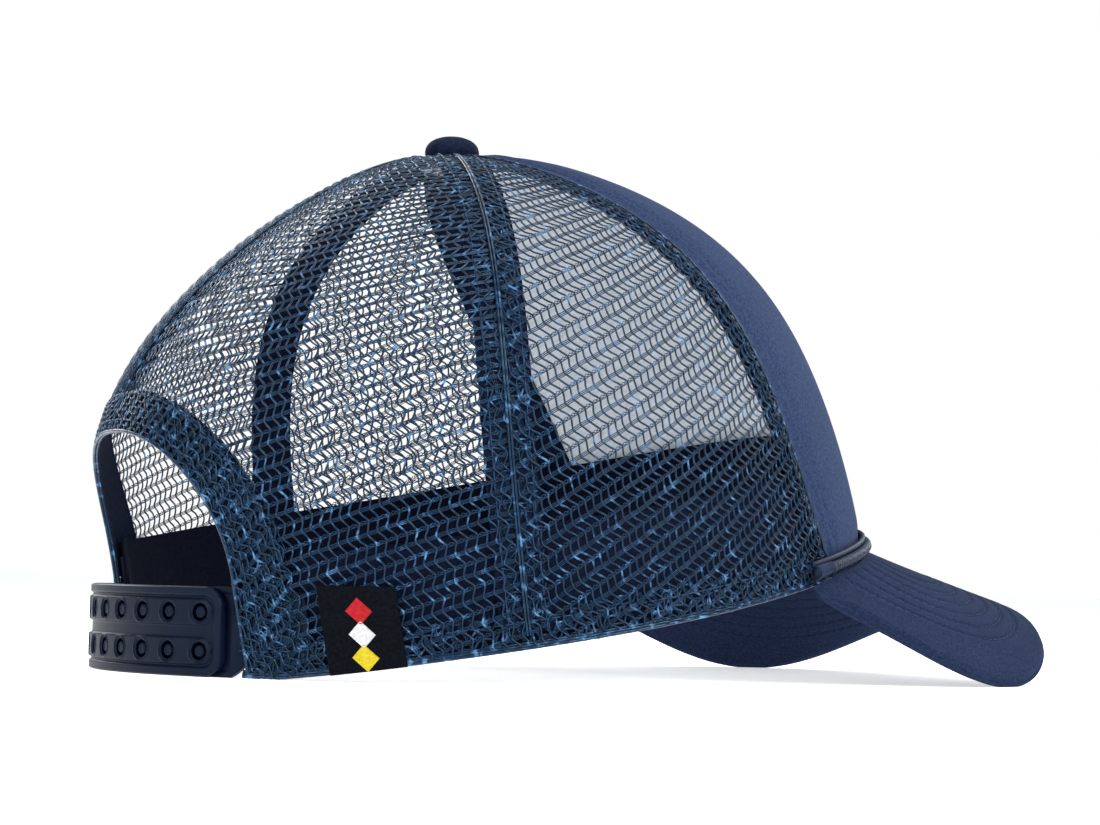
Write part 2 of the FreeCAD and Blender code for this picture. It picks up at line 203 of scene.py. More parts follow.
class Tubes:
    """Collects many thread tubes into one mesh."""

    def __init__(self):
        self.v, self.f, self.uv, self.n = [], [], [], 0

    def add(self, pts, nrm, r_b, r_n, sides=5, uv=None, caps=True):
        pts = np.asarray(pts, float)
        if len(pts) < 2:
            return
        t = np.gradient(pts, axis=0)
        t /= np.linalg.norm(t, axis=1, keepdims=True) + 1e-12
        nrm = nrm - (nrm * t).sum(1, keepdims=True) * t
        nrm /= np.linalg.norm(nrm, axis=1, keepdims=True) + 1e-12
        b = np.cross(t, nrm)
        a = np.arange(sides) * 2 * math.pi / sides + 0.3
        rb = np.asarray(r_b, float) * np.ones(len(pts))
        rn = np.asarray(r_n, float) * np.ones(len(pts))
        ring = pts[:, None, :] + (np.cos(a)[None, :, None] * b[:, None, :]) * rb[:, None, None] \
            + (np.sin(a)[None, :, None] * nrm[:, None, :]) * rn[:, None, None]
        k = len(pts)
        i = np.arange(k - 1)[:, None]
        j = np.arange(sides)[None, :]
        j2 = (j + 1) % sides
        f = np.stack([i * sides + j, i * sides + j2, (i + 1) * sides + j2, (i + 1) * sides + j], -1).reshape(-1, 4)
        self.v.append(ring.reshape(-1, 3))
        self.f.append(f + self.n)
        if uv is None:
            uv = np.stack([np.linspace(0.02, 0.98, k), np.full(k, 0.5)], -1)
        self.uv.append(np.repeat(uv, sides, axis=0))
        self.n += k * sides

    def build(self, name, mat, body="cap"):
        if not self.v:
            return None
        v = m3(np.concatenate(self.v))
        uv = np.concatenate(self.uv)
        lo, hi = uv.min(0), uv.max(0)
        uv = (uv - lo) / np.maximum(hi - lo, 1e-6) * 0.96 + 0.02
        return make_mesh(name, v, np.concatenate(self.f), mat, uv=uv, body=body)


def runs(mask):
    """start, end index pairs of the True stretches"""
    m = np.concatenate([[False], mask, [False]]).astype(int)
    d = np.diff(m)
    return list(zip(np.where(d == 1)[0], np.where(d == -1)[0]))


# ================================================================ materials
def srgb(r, g, b):
    def f(c):
        c /= 255
        return c / 12.92 if c <= 0.04045 else ((c + 0.055) / 1.055) ** 2.4
    return (f(r), f(g), f(b), 1)


LUM = 0.62


def dim(c, k):
    return tuple(q * k for q in c[:3]) + (1,)


def new_mat(name):
    m = bpy.data.materials.new(name)
    m.use_nodes = True
    nt = m.node_tree
    return m, nt, nt.nodes, nt.links, nt.nodes["Principled BSDF"]


def noise_color(nt, ns, ln, scale, c0, c1, lo=0.35, hi=0.65, detail=2.0, coord="Object"):
    tc = ns.new("ShaderNodeTexCoord")
    no = ns.new("ShaderNodeTexNoise")
    no.inputs["Scale"].default_value = scale
    no.inputs["Detail"].default_value = detail
    ln.new(tc.outputs[coord], no.inputs["Vector"])
    cr = ns.new("ShaderNodeValToRGB")
    cr.color_ramp.elements[0].position, cr.color_ramp.elements[0].color = lo, c0
    cr.color_ramp.elements[1].position, cr.color_ramp.elements[1].color = hi, c1
    ln.new(no.outputs["Fac"], cr.inputs["Fac"])
    return tc, no, cr


def fabric_mat(name, c0, c1, scale=900, rough=0.9, sheen=0.3, sheen_tint=(0.4, 0.5, 0.8, 1), bump=0.25, bump_scale=1400,
               dist=0.00008, big=None, spec=0.25, lum=0.62):
    m, nt, ns, ln, p = new_mat(name)
    tc, no, cr = noise_color(nt, ns, ln, scale, dim(c0, lum), dim(c1, lum))
    col = cr.outputs["Color"]
    sheen *= 0.15
    spec *= 0.4
    if big:
        n2 = ns.new("ShaderNodeTexNoise")
        n2.inputs["Scale"].default_value = big[0]
        n2.inputs["Detail"].default_value = 3
        ln.new(tc.outputs["Object"], n2.inputs["Vector"])
        mr = ns.new("ShaderNodeMapRange")
        mr.inputs["From Min"].default_value, mr.inputs["From Max"].default_value = 0.3, 0.7
        mr.inputs["To Min"].default_value, mr.inputs["To Max"].default_value = big[1], big[2]
        ln.new(n2.outputs["Fac"], mr.inputs["Value"])
        mx = ns.new("ShaderNodeMixRGB")
        mx.blend_type = "MULTIPLY"
        mx.inputs["Fac"].default_value = 1
        ln.new(col, mx.inputs["Color1"])
        ln.new(mr.outputs["Result"], mx.inputs["Color2"])
        col = mx.outputs["Color"]
    ln.new(col, p.inputs["Base Color"])
    p.inputs["Roughness"].default_value = rough
    p.inputs["Specular IOR Level"].default_value = spec
    p.inputs["Sheen Weight"].default_value = sheen
    p.inputs["Sheen Roughness"].default_value = 0.4
    p.inputs["Sheen Tint"].default_value = sheen_tint
    b = ns.new("ShaderNodeBump")
    b.inputs["Strength"].default_value = bump
    b.inputs["Distance"].default_value = dist
    nb = ns.new("ShaderNodeTexNoise")
    nb.inputs["Scale"].default_value = bump_scale
    nb.inputs["Detail"].default_value = 3
    ln.new(tc.outputs["Object"], nb.inputs["Vector"])
    ln.new(nb.outputs["Fac"], b.inputs["Height"])
    ln.new(b.outputs["Normal"], p.inputs["Normal"])
    return m


M_FOAM = fabric_mat("foam_knit", srgb(49, 64, 99), srgb(70, 87, 124), scale=1500, rough=0.95, sheen=0.25,
                    bump=0.35, bump_scale=2000, dist=0.0001, big=(30, 0.94, 1.06), spec=0.12, lum=0.46)
M_VISOR = fabric_mat("visor_fabric", srgb(39, 53, 86), srgb(56, 72, 108), scale=1500, rough=0.92, sheen=0.2,
                     bump=0.3, bump_scale=1900, dist=0.0001, big=(40, 0.92, 1.08), spec=0.1, lum=0.38)
M_VISOR_UNDER = fabric_mat("visor_fabric_under", srgb(33, 46, 76), srgb(47, 61, 93), scale=1500, rough=0.94, sheen=0.15,
                           bump=0.3, bump_scale=1900, dist=0.0001, big=(40, 0.92, 1.08), spec=0.12)
M_TAPE = fabric_mat("seam_tape", srgb(9, 17, 38), srgb(16, 28, 54), scale=900, rough=0.85, sheen=0.1, bump=0.4,
                    bump_scale=1500, dist=0.0001, spec=0.2)
M_SWEAT = fabric_mat("sweatband", srgb(6, 10, 24), srgb(13, 20, 40), scale=1100, rough=0.9, sheen=0.12, bump=0.4,
                     bump_scale=1600, dist=0.0001, spec=0.15)
M_BUTTON = fabric_mat("button_fabric", srgb(16, 28, 56), srgb(28, 42, 74), scale=1200, rough=0.7, sheen=0.1, bump=0.3,
                      bump_scale=1800, dist=0.00006, spec=0.15, lum=0.45)
M_LABEL = fabric_mat("label_ribbon", srgb(5, 8, 14), srgb(14, 18, 26), scale=1400, rough=0.8, sheen=0.0, bump=0.3,
                     bump_scale=2000, dist=0.00005, spec=0.12)
M_CORE = fabric_mat("foam_backing", srgb(214, 218, 224), srgb(232, 235, 240), scale=700, rough=0.95, sheen=0.0, bump=0.25,
                    bump_scale=1200, dist=0.0001, spec=0.1, lum=0.9)
M_INTER = fabric_mat("interlining", srgb(196, 196, 190), srgb(214, 214, 208), scale=500, rough=0.95, sheen=0.0)


def thread_mat(name, c0, c1, rough=0.42, spec=0.5, sheen=0.25, scale=260, painted_glint=None):
    m, nt, ns, ln, p = new_mat(name)
    tc, no, cr = noise_color(nt, ns, ln, scale, dim(c0, LUM), dim(c1, LUM), 0.3, 0.58 if painted_glint else 0.7, 3)
    # painted glint: a light-blue stop high in the noise ramp scatters specks of painted highlight through the thread's
    # base colour
    if painted_glint:
        el = cr.color_ramp.elements.new(0.70)
        el.color = painted_glint
    ln.new(cr.outputs["Color"], p.inputs["Base Color"])
    p.inputs["Roughness"].default_value = rough
    p.inputs["Specular IOR Level"].default_value = spec
    p.inputs["Sheen Weight"].default_value = sheen
    p.inputs["Sheen Tint"].default_value = (0.35, 0.6, 0.9, 1)
    p.inputs["Specular Tint"].default_value = (0.42, 0.74, 1.0, 1)
    return m


# mesh threads: navy base colour with light-blue painted glints (painted highlight specks), given as the last colour of
# each call
M_MESH = thread_mat("mesh_thread", srgb(2, 11, 32), srgb(10, 36, 70), rough=0.28, spec=0.5, sheen=0.0, scale=420,
                    painted_glint=srgb(78, 120, 160))
M_MESH2 = thread_mat("mesh_filament", srgb(4, 16, 40), srgb(16, 44, 80), rough=0.28, spec=0.5, sheen=0.0, scale=420,
                     painted_glint=srgb(62, 100, 138))
M_THREAD = thread_mat("sewing_thread", srgb(14, 34, 66), srgb(40, 70, 112), rough=0.35, spec=0.4, sheen=0.0)
M_THREAD_V = thread_mat("visor_thread", srgb(50, 66, 102), srgb(68, 86, 126), rough=0.7, spec=0.12, sheen=0.0)
M_ROPE = thread_mat("rope_cord", srgb(14, 20, 42), srgb(30, 36, 62), rough=0.5, spec=0.22, sheen=0.0, scale=700)
M_TACK = thread_mat("tack_thread", srgb(26, 36, 62), srgb(74, 84, 116), rough=0.35, spec=0.45, sheen=0.0)


def plastic_mat(name, c, rough=0.42):
    m, nt, ns, ln, p = new_mat(name)
    c = dim(c, LUM)
    c1 = tuple(min(1, q * 1.25) for q in c[:3]) + (1,)
    tc, no, cr = noise_color(nt, ns, ln, 120, c, c1, 0.35, 0.65, 2)
    ln.new(cr.outputs["Color"], p.inputs["Base Color"])
    p.inputs["Roughness"].default_value = rough
    p.inputs["Specular IOR Level"].default_value = 0.14
    p.inputs["Specular Tint"].default_value = (0.6, 0.8, 1.0, 1)
    b = ns.new("ShaderNodeBump")
    b.inputs["Strength"].default_value = 0.12
    b.inputs["Distance"].default_value = 0.00005
    nb = ns.new("ShaderNodeTexNoise")
    nb.inputs["Scale"].default_value = 1800
    ln.new(tc.outputs["Object"], nb.inputs["Vector"])
    ln.new(nb.outputs["Fac"], b.inputs["Height"])
    ln.new(b.outputs["Normal"], p.inputs["Normal"])
    return m


M_STRAP = plastic_mat("strap_plastic", srgb(8, 17, 38))


def steel_mat():
    m, nt, ns, ln, p = new_mat("steel")
    tc, no, cr = noise_color(nt, ns, ln, 300, (0.4, 0.4, 0.42, 1), (0.55, 0.55, 0.57, 1))
    ln.new(cr.outputs["Color"], p.inputs["Base Color"])
    p.inputs["Metallic"].default_value = 1
    p.inputs["Roughness"].default_value = 0.35
    return m


M_STEEL = steel_mat()
M_BOARD = fabric_mat("board", srgb(190, 190, 190), srgb(205, 205, 205), scale=200, rough=0.5, sheen=0.0)

# ================================================================ knitted mesh
PITCH, ROW = 2.3, 2.85          # mm between strands, mm between rows


def panel_frame(side, which):
    """Flat-pattern mapping of a mesh panel: (U, V) mm -> (theta, phi)."""
    if which == "side":
        def centre(phi):
            return (th_front(phi) + th_side(phi)) / 2
    else:
        def centre(phi):
            return (th_side(phi) + math.pi) / 2
    ph = np.linspace(0, P_END, 400)
    c = centre(ph)
    p = S(c, ph)
    v = np.concatenate([[0], np.cumsum(np.linalg.norm(np.diff(p, axis=0), axis=1))])
    e = 0.004
    rate = np.linalg.norm(S(c + e, ph) - S(c - e, ph), axis=1) / (2 * e)
    return ph, c, v, rate


def inside_panel(th, phi, which, margin=0.0):
    lo = th_front(phi) if which == "side" else th_side(phi)
    hi = th_side(phi) if which == "side" else np.full(phi.shape, math.pi)
    rate = np.maximum(np.linalg.norm(S(th + 0.004, phi) - S(th - 0.004, phi), axis=-1) / 0.008, 1e-3)
    ok = (th > lo + margin / rate) & (th < hi - margin / rate) & (phi > 0.001) & (phi < P_END)
    if which == "back":
        p = S(th, phi)
        ok &= ~in_arch(p[..., 0], p[..., 2], margin)
    return ok


def arch_half(z, grow=0.0):
    """half width of the opening at height z"""
    h = ARCH_H + grow - ARCH_Z
    s = np.clip((z - ARCH_Z) / h, 0, 1) ** (1 / 0.9)
    c = np.sqrt(np.clip(1 - s ** 2, 0, 1))
    w = (ARCH_W + grow) * c ** 0.85
    return np.where(z < ARCH_Z, ARCH_W + grow, np.where(z > ARCH_H + grow, 0, w))


def in_arch(x, z, grow=0.0):
    return np.abs(x) < arch_half(z, grow)


def knit(name, which, side, angle, off=-0.4, region=None, u0=0.0, v0=0.0, dense=1.0, strands=True, filaments=True,
         u_range=None, mat=None, sd=5):
    ph, c, v, rate = panel_frame(side, which)
    ca, sa = math.cos(rad(angle)), math.sin(rad(angle))
    # corners of the panel in flat coordinates
    half = 95.0
    vmax = v[-1]
    P, R = PITCH * dense, ROW * dense

    def to_tp(a, b):
        """pattern coordinates -> theta, phi; a along a row (towards the front), b up"""
        U = a * ca - b * sa
        Vv = a * sa + b * ca + vmax * 0.45
        phi = np.interp(Vv, v, ph, left=-1, right=99)
        good = (Vv > 0) & (Vv < vmax)
        phi = np.clip(phi, 0, P_END)
        cc = np.interp(phi, ph, c)
        rr = np.interp(phi, ph, rate)
        th = cc - U / rr
        good &= np.abs(U / rr) < 1.2
        return th, phi, good

    def emit(tb, a, b, lift, rb, rn, sides):
        th, phi, good = to_tp(a, b)
        ok = good & inside_panel(th, phi, which)
        if region is not None:
            ok &= region(th, phi)
        for i0, i1 in runs(ok):
            if i1 - i0 < 3:
                continue
            t, f = th[i0:i1], phi[i0:i1]
            lf = lift[i0:i1] if np.ndim(lift) else np.full(i1 - i0, lift)
            pts = S(t, f)
            nr = NRM(t, f)
            pts = pts + nr * (off + lf)[:, None]
            if side == "left":
                pts = pts * np.array([-1, 1, 1.0])
                nr = nr * np.array([-1, 1, 1.0])
            uv = np.stack([a[i0:i1], b[i0:i1]], -1)
            tb.add(pts, nr, rb, rn, sides, uv)

    tb = Tubes()
    nb = int(2 * half / P)
    nr_ = int(2 * half / R)
    per = 5
    if strands:
        for j in range(-nb // 2, nb // 2 + 1):
            b = np.arange(-nr_ // 2 * per, nr_ // 2 * per + 1) * (R / per)
            q = b / (2 * R)
            tri = np.abs((q % 1.0) * 2 - 1) * 2 - 1          # -1..1
            tri = np.sin(tri * math.pi / 2) * 0.35 + tri * 0.65
            a = j * P + u0 + 0.30 * P * tri
            wob = 0.10 * np.sin(j * 1.7 + b * 0.9) + 0.06 * np.sin(j * 0.6 - b * 2.3)
            emit(tb, a + wob, b + v0, 0.12 * np.cos(b / R * math.pi * 2), 0.27, 0.19, sd)
        ob = tb.build(name + "_strands", mat or M_MESH)
    if filaments:
        tf = Tubes()
        pa = 4
        for i in range(-nr_ // 2, nr_ // 2 + 1):
            a = np.arange(-nb // 2 * pa, nb // 2 * pa + 1) * (P / pa)
            zig = np.abs(((a - 0) / P % 1.0) * 2 - 1) * 2 - 1
            sway = 0.08 * np.sin(a * 0.7 + i * 1.3)
            shift = 0.30 * P * (1 if i % 2 else -1)
            if i % 2:
                for dv in (-0.36, 0.0, 0.36):
                    emit(tf, a + u0, i * R + dv * dense + sway + v0, -0.03, 0.15, 0.10, 3)
            else:
                zz = np.abs(((a - shift) / P % 1.0) * 2 - 1) * 2 - 1
                emit(tf, a + u0, i * R - 0.42 * dense + sway * 0.5 + v0, -0.03, 0.15, 0.10, 3)
                emit(tf, a + u0, i * R + 0.05 + 0.42 * zz * dense + v0, -0.03, 0.13, 0.09, 3)
                emit(tf, a + u0, i * R + 0.05 - 0.42 * zz * dense + v0, 0.0, 0.13, 0.09, 3)
        ob2 = tf.build(name + "_filaments", M_MESH2)


GRAIN = {"side": 24.0, "back": 13.0}
for side in ("right", "left"):
    for which in ("side", "back"):
        knit("mesh_panel_%s_%s" % (which, side), which, side, GRAIN[which])

# second layers: seam allowances, hem and the turned edge round the opening


def near_seam(fn, w):
    def reg(th, phi):
        c = fn(phi)
        rate = np.linalg.norm(S(th + 0.004, phi) - S(th - 0.004, phi), axis=-1) / 0.008
        return np.abs((th - c) * rate) < w
    return reg


def hem_region(h):
    return lambda th, phi: S(th, phi)[..., 2] < np.maximum(rim_z(th), 0) + h


def arch_region(w):
    def reg(th, phi):
        p = S(th, phi)
        return in_arch(p[..., 0], p[..., 2], w)
    return reg


def either(*rs):
    def reg(th, phi):
        r = rs[0](th, phi)
        for q in rs[1:]:
            r = r | q(th, phi)
        return r
    return reg


for side in ("right", "left"):
    knit("seam_allowance_side_%s" % side, "side", side, -62.0, off=-0.78, region=either(
        near_seam(th_side, 6.0), near_seam(th_front, 5.0), hem_region(9.0)), u0=0.7, v0=1.1, dense=0.92, sd=4)
    knit("seam_allowance_back_%s" % side, "back", side, -70.0, off=-0.78, region=either(
        near_seam(th_side, 5.0), near_seam(lambda p: np.full(np.shape(p), math.pi), 6.0), hem_region(9.0),
        arch_region(11.0)), u0=0.7, v0=1.1, dense=0.92, sd=4)
    knit("turned_edge_back_%s" % side, "back", side, 40.0, off=0.02, region=arch_region(10.5), u0=0.3, v0=0.4,
         dense=0.95, sd=4)

# ================================================================ foam front panel
nu, nv = ((241, 181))
u = np.linspace(-1, 1, nu)[:, None]
v = np.linspace(0, 1, nv)[None, :]
phi = P_END * v * np.ones_like(u)
tf_ = th_front(phi)
rate = np.maximum(np.linalg.norm(S(tf_ * u + 0.004, phi) - S(tf_ * u - 0.004, phi), axis=-1) / 0.008, 1e-3)
dist = (1 - np.abs(u)) * tf_ * rate                    # mm from the side edge
low = (S(tf_ * u, phi)[..., 2] - rim_z(tf_ * u))
e = np.minimum(ease(dist / 9.0), ease(low / 11.0))
e = np.minimum(e, ease((1 - v) / 0.16))
ridge = 0.38 * np.exp(-((dist - 3.4) / 0.7) ** 2) - 0.30 * np.exp(-((dist - 2.1) / 0.5) ** 2) \
    - 0.22 * np.exp(-((dist - 4.9) / 0.6) ** 2)
ripple = 0.10 * np.sin(S(tf_ * u, phi)[..., 2] * 0.9) * np.exp(-(dist / 7.0) ** 2)
off_o = 0.15 + 1.25 * e + ridge * ease(low / 6) * ease((1 - v) / 0.1) + ripple
front_out = crown(tf_ * u * (1 - 0.0), phi, off_o)
front_in = crown(tf_ * u, phi, -1.5 + 0 * off_o)
core = slab("front_panel_foam_core", crown(tf_ * u, phi, -0.25 + 0 * off_o), front_in, M_CORE)
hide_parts("front_panel")
o = slab("front_panel_foam", front_out, crown(tf_ * u, phi, -0.25 + 0 * off_o), M_FOAM)
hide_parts("front_panel")

# ================================================================ tapes, binding, bands


def strip(name, th_fn, half, z0, r_stop, o_out, o_in, node, mirror=False, mat=None):
    p_lo = float(phi_at(th_fn(np.array(0.3)), z0))
    ps = np.linspace(1.0, math.pi / 2, 2000)
    q = S(th_fn(ps), ps)
    r = np.hypot(q[:, 0], q[:, 1] - APEX_Y)
    p_hi = ps[np.where(r > r_stop)[0][-1]]
    un, vn = 13, 121
    uu = np.linspace(-1, 1, un)[:, None]
    ph = np.linspace(p_lo, p_hi, vn)[None, :] * np.ones_like(uu)
    th = th_fn(ph)
    rt = np.linalg.norm(S(th + 0.004, ph) - S(th - 0.004, ph), axis=-1) / 0.008
    bulge = 0.18 * (1 - uu ** 2)
    t2 = th + uu * half / rt
    go, gi = crown(t2, ph, o_out + 0 * ph), crown(t2, ph, o_in - bulge + 0 * ph)
    if mirror:
        go, gi = go * np.array([-1, 1, 1.0]), gi * np.array([-1, 1, 1.0])
    ob = slab(name, go, gi, mat or M_TAPE)
    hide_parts(node)
    return ob


for side in ("right", "left"):
    mir = side == "left"
    strip("tape_front_" + side, th_front, 5.0, 38.0, 9.0, -1.65, -2.0, "seam_tape_front_" + side, mir)
    strip("tape_side_" + side, th_side, 6.5, 12.5, 12.0, -0.95, -1.3, "seam_tape_side_" + side, mir)
strip("tape_center_back", lambda p: np.full(np.shape(p), math.pi), 6.5, ARCH_H + 13.5, 12.0, -0.95, -1.3, "seam_tape_center_back")

# binding round the opening: a strip that follows the arch
tt = np.linspace(0.0, math.pi, 181)[:, None]
ww = np.linspace(0.15, 10.6, 9)[None, :]


def arch_curve(t, g):
    w = (ARCH_W + g) * spow(np.cos(t), 0.85)
    z = ARCH_Z + (ARCH_H + g - ARCH_Z) * np.sin(t) ** 0.9
    return w, z


def on_back(x, z, off):
    """Point of the crown's back at sideways place x and height z."""
    x, z = np.broadcast_arrays(np.asarray(x, float), np.asarray(z, float))
    lo, hi = np.full(x.shape, math.pi / 2 + 0.02), np.full(x.shape, 1.5 * math.pi - 0.02)
    for _ in range(34):
        mid = (lo + hi) / 2
        px = S(mid, phi_at(mid, z))[..., 0]
        less = px < x
        lo, hi = np.where(less, mid, lo), np.where(less, hi, mid)
    th = (lo + hi) / 2
    return crown(th, phi_at(th, z), off), NRM(th, phi_at(th, z))


ax, az = arch_curve(tt + 0 * ww, ww + 0 * tt)
az = np.maximum(az, ARCH_Z + 0.9)
bo, _ = on_back(ax, az, -0.95)
bi, _ = on_back(ax, az, -1.55)
o = slab("back_opening_binding_tape", bo, bi, M_TAPE)
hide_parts("back_opening_binding")


def band(name, z_lo, height, o_out, o_in, node, mat, roll=0.0):
    un, vn = (161, 25)
    th_end = rad(146.3)
    th = np.linspace(-th_end, th_end, un)[:, None] * np.ones((1, vn))
    vv = np.linspace(0, 1, vn)[None, :] * np.ones((un, 1))
    z0 = np.maximum(rim_z(th), 0) + z_lo
    z = z0 + (height - z_lo) * vv
    ph = phi_at(th, z)
    puff = 0.35 * np.sin(vv * math.pi) ** 0.5 * (1 if roll else 0) - 0.25 * np.exp(-((vv - 0.9) / 0.03) ** 2) * (1 if roll else 0)
    go, gi = crown(th, ph, o_out + 0 * ph), crown(th, ph, o_in - puff)
    ob = slab(name, go, gi, mat)
    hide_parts(node)
    return ob


band("sweatband_skin", 0.4, 33.0, -3.3, -3.9, "sweatband", M_SWEAT, roll=1)
band("sweatband_core", 3.0, 28.0, -2.45, -3.2, "sweatband_interlining", M_TAPE)

# ================================================================ visor
THV = rad(57)
VL, VW, VS, VE, VK = 97.4, 74.5, 0.306, 2.9, -22.0
P0, PC = S(THV, 0.0), S(0.0, 0.0)
KX = (PC[2] + VS * (P0[1] - PC[1]) - P0[2]) / P0[0] ** 2


def zplane(x, y):
    return PC[2] + VS * (y - PC[1]) - KX * x * x


def visor_mid(s, t):
    s, t = np.broadcast_arrays(np.asarray(s, float), np.asarray(t, float))
    r = S(s * THV, 0 * s)
    n = np.stack([r[..., 0] / B ** 2, r[..., 1] / A ** 2], -1)
    n /= np.linalg.norm(n, axis=-1, keepdims=True)
    ix, iy = r[..., 0] + n[..., 0] * 0.9, r[..., 1] + n[..., 1] * 0.9
    ang = s * math.pi / 2
    ox = -VW * spow(np.sin(ang), 2 / VE)
    oy = P0[1] - 0.6 - VL * np.abs(np.cos(ang)) ** (2 / VE)
    x, y = ix * (1 - t) + ox * t, iy * (1 - t) + oy * t
    droop = VK * t * np.abs(x / VW) ** 4 * ease((P0[1] - y) / 112.0)
    z = zplane(x, y) + (r[..., 2] - zplane(ix, iy)) * (1 - t) ** 2 + droop
    return np.stack([x, y, z + 1.2 * t], -1)


def visor_nrm(s, t):
    s, t = np.broadcast_arrays(np.asarray(s, float), np.asarray(t, float))
    q = np.clip(s, -0.985, 0.985)
    a = visor_mid(q + 0.01, t) - visor_mid(q - 0.01, t)
    b = visor_mid(q, np.minimum(t + 0.01, 1)) - visor_mid(q, np.maximum(t - 0.01, 0))
    n = np.cross(a, b)
    n /= np.linalg.norm(n, axis=-1, keepdims=True)
    return n * np.where(n[..., 2] < 0, -1.0, 1.0)[..., None]


def edge_profile(s, t):
    d = np.minimum((1 - t) / 0.05, (1 - np.abs(s)) / 0.03)
    return np.sqrt(np.clip(1 - (1 - np.clip(d, 0, 1)) ** 2, 0, 1))


# stitch rows: nested U lines, as (half width, tip) of each row in the visor's own s,t
ROWS_V = [(0.97, 0.955), (0.80, 0.80), (0.70, 0.70), (0.60, 0.60), (0.50, 0.50), (0.40, 0.40), (0.30, 0.30)]


def row_value(s, t):
    """Runs from 0 in the middle of the crown side to 1 on the outer edge, constant along a U row."""
    e_ = 2.6
    return (np.abs(s * 1.0) ** e_ + np.clip(t, 0, 1) ** e_) ** (1 / e_)


def row_curve(val, n=400):
    """The U row with this value as (s, t)."""
    a = np.linspace(-math.pi / 2, math.pi / 2, n)
    e_ = 2.6
    s = val * spow(np.sin(a), 2 / e_)
    t = val * np.abs(np.cos(a)) ** (2 / e_)
    return s, t


ROW_VALS = [0.865, 0.79, 0.715, 0.64, 0.565, 0.49]
EDGE_VALS = [0.93, 0.945, 0.96]
nu, nv = ((261, 181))
s_ = np.linspace(-1, 1, nu)[:, None]
t_ = np.linspace(0, 1, nv)[None, :]
s_, t_ = s_ * np.ones_like(t_), t_ * np.ones_like(s_)
mid, nrm = visor_mid(s_, t_), visor_nrm(s_, t_)
rv = row_value(s_, t_)
groove = np.zeros_like(rv)
for k in ROW_VALS:
    groove -= 0.55 * np.exp(-((rv - k) / 0.009) ** 2)
    groove += 0.10 * np.exp(-((rv - k - 0.022) / 0.014) ** 2) + 0.10 * np.exp(-((rv - k + 0.022) / 0.014) ** 2)
for k in EDGE_VALS:
    groove -= 0.12 * np.exp(-((rv - k) / 0.004) ** 2)
groove *= ease(t_ / 0.06)
ep = edge_profile(s_, t_)
top_o = mid + nrm * (0.05 + 1.85 * ep + groove * ep)[..., None]
top_i = mid + nrm * (0.0 + 0.9 * ep)[..., None]
o = slab("visor_top", top_o, top_i, M_VISOR)
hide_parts("visor_cover_top")
bot_o = mid + nrm * (-0.9 * ep)[..., None]
bot_i = mid - nrm * (0.05 + 1.80 * ep + groove * 0.7 * ep)[..., None]
o = slab("visor_bottom", bot_o, bot_i, M_VISOR_UNDER)
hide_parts("visor_cover_bottom")


te = Tubes()
q_s = np.concatenate([np.full(60, -1.0), np.linspace(-1, 1, 700), np.full(60, 1.0)])
q_t = np.concatenate([np.linspace(0.02, 1, 60), np.ones(700), np.linspace(1, 0.02, 60)])
pe, ne = visor_mid(q_s, q_t), visor_nrm(q_s, q_t)
keep = np.concatenate([[True], np.linalg.norm(np.diff(pe, axis=0), axis=1) > 0.02])
te.add(pe[keep], ne[keep], 0.55, 0.62, 12)
ob = te.build("visor_edge_fold", M_VISOR)


def stitches(tb, pts, nrm, length=2.2, gap=0.6, r=0.14, lift=0.05, sides=5):
    """A row of short thread stitches along a dense polyline (mm)."""
    seg = np.linalg.norm(np.diff(pts, axis=0), axis=1)
    L = np.concatenate([[0], np.cumsum(seg)])
    n = int(L[-1] / (length + gap))
    if n < 1:
        return
    step = L[-1] / n
    for i in range(n):
        a, b = i * step + gap / 2, (i + 1) * step - gap / 2
        q = np.linspace(a, b, 5)
        p = np.stack([np.interp(q, L, pts[:, k]) for k in range(3)], -1)
        m = np.stack([np.interp(q, L, nrm[:, k]) for k in range(3)], -1)
        h = np.array([-0.10, lift, lift + 0.03, lift, -0.10])
        rr = np.array([0.6, 1, 1, 1, 0.6]) * r
        tb.add(p + m * h[:, None], m, rr, rr * 0.8, sides)


tb = Tubes()
for k in ROW_VALS:
    s1, t1 = row_curve(k)
    keep = t1 > 0.03
    s1, t1 = s1[keep], t1[keep]
    n1 = visor_nrm(s1, t1)
    stitches(tb, visor_mid(s1, t1) + n1 * 1.56, n1, lift=0.0)
    stitches(tb, visor_mid(s1, t1) - n1 * 1.60, -n1, lift=0.0)
tb.build("visor_stitch_rows", M_THREAD_V)

# ================================================================ rope and tacks


def rope_pt(th, out=1.9, up=4.1):
    r = S(th, 0 * th)
    n = np.stack([r[..., 0] / B ** 2, r[..., 1] / A ** 2, 0 * r[..., 0]], -1)
    n /= np.linalg.norm(n, axis=-1, keepdims=True)
    p = r + n * out
    p[..., 2] += up
    return p, n


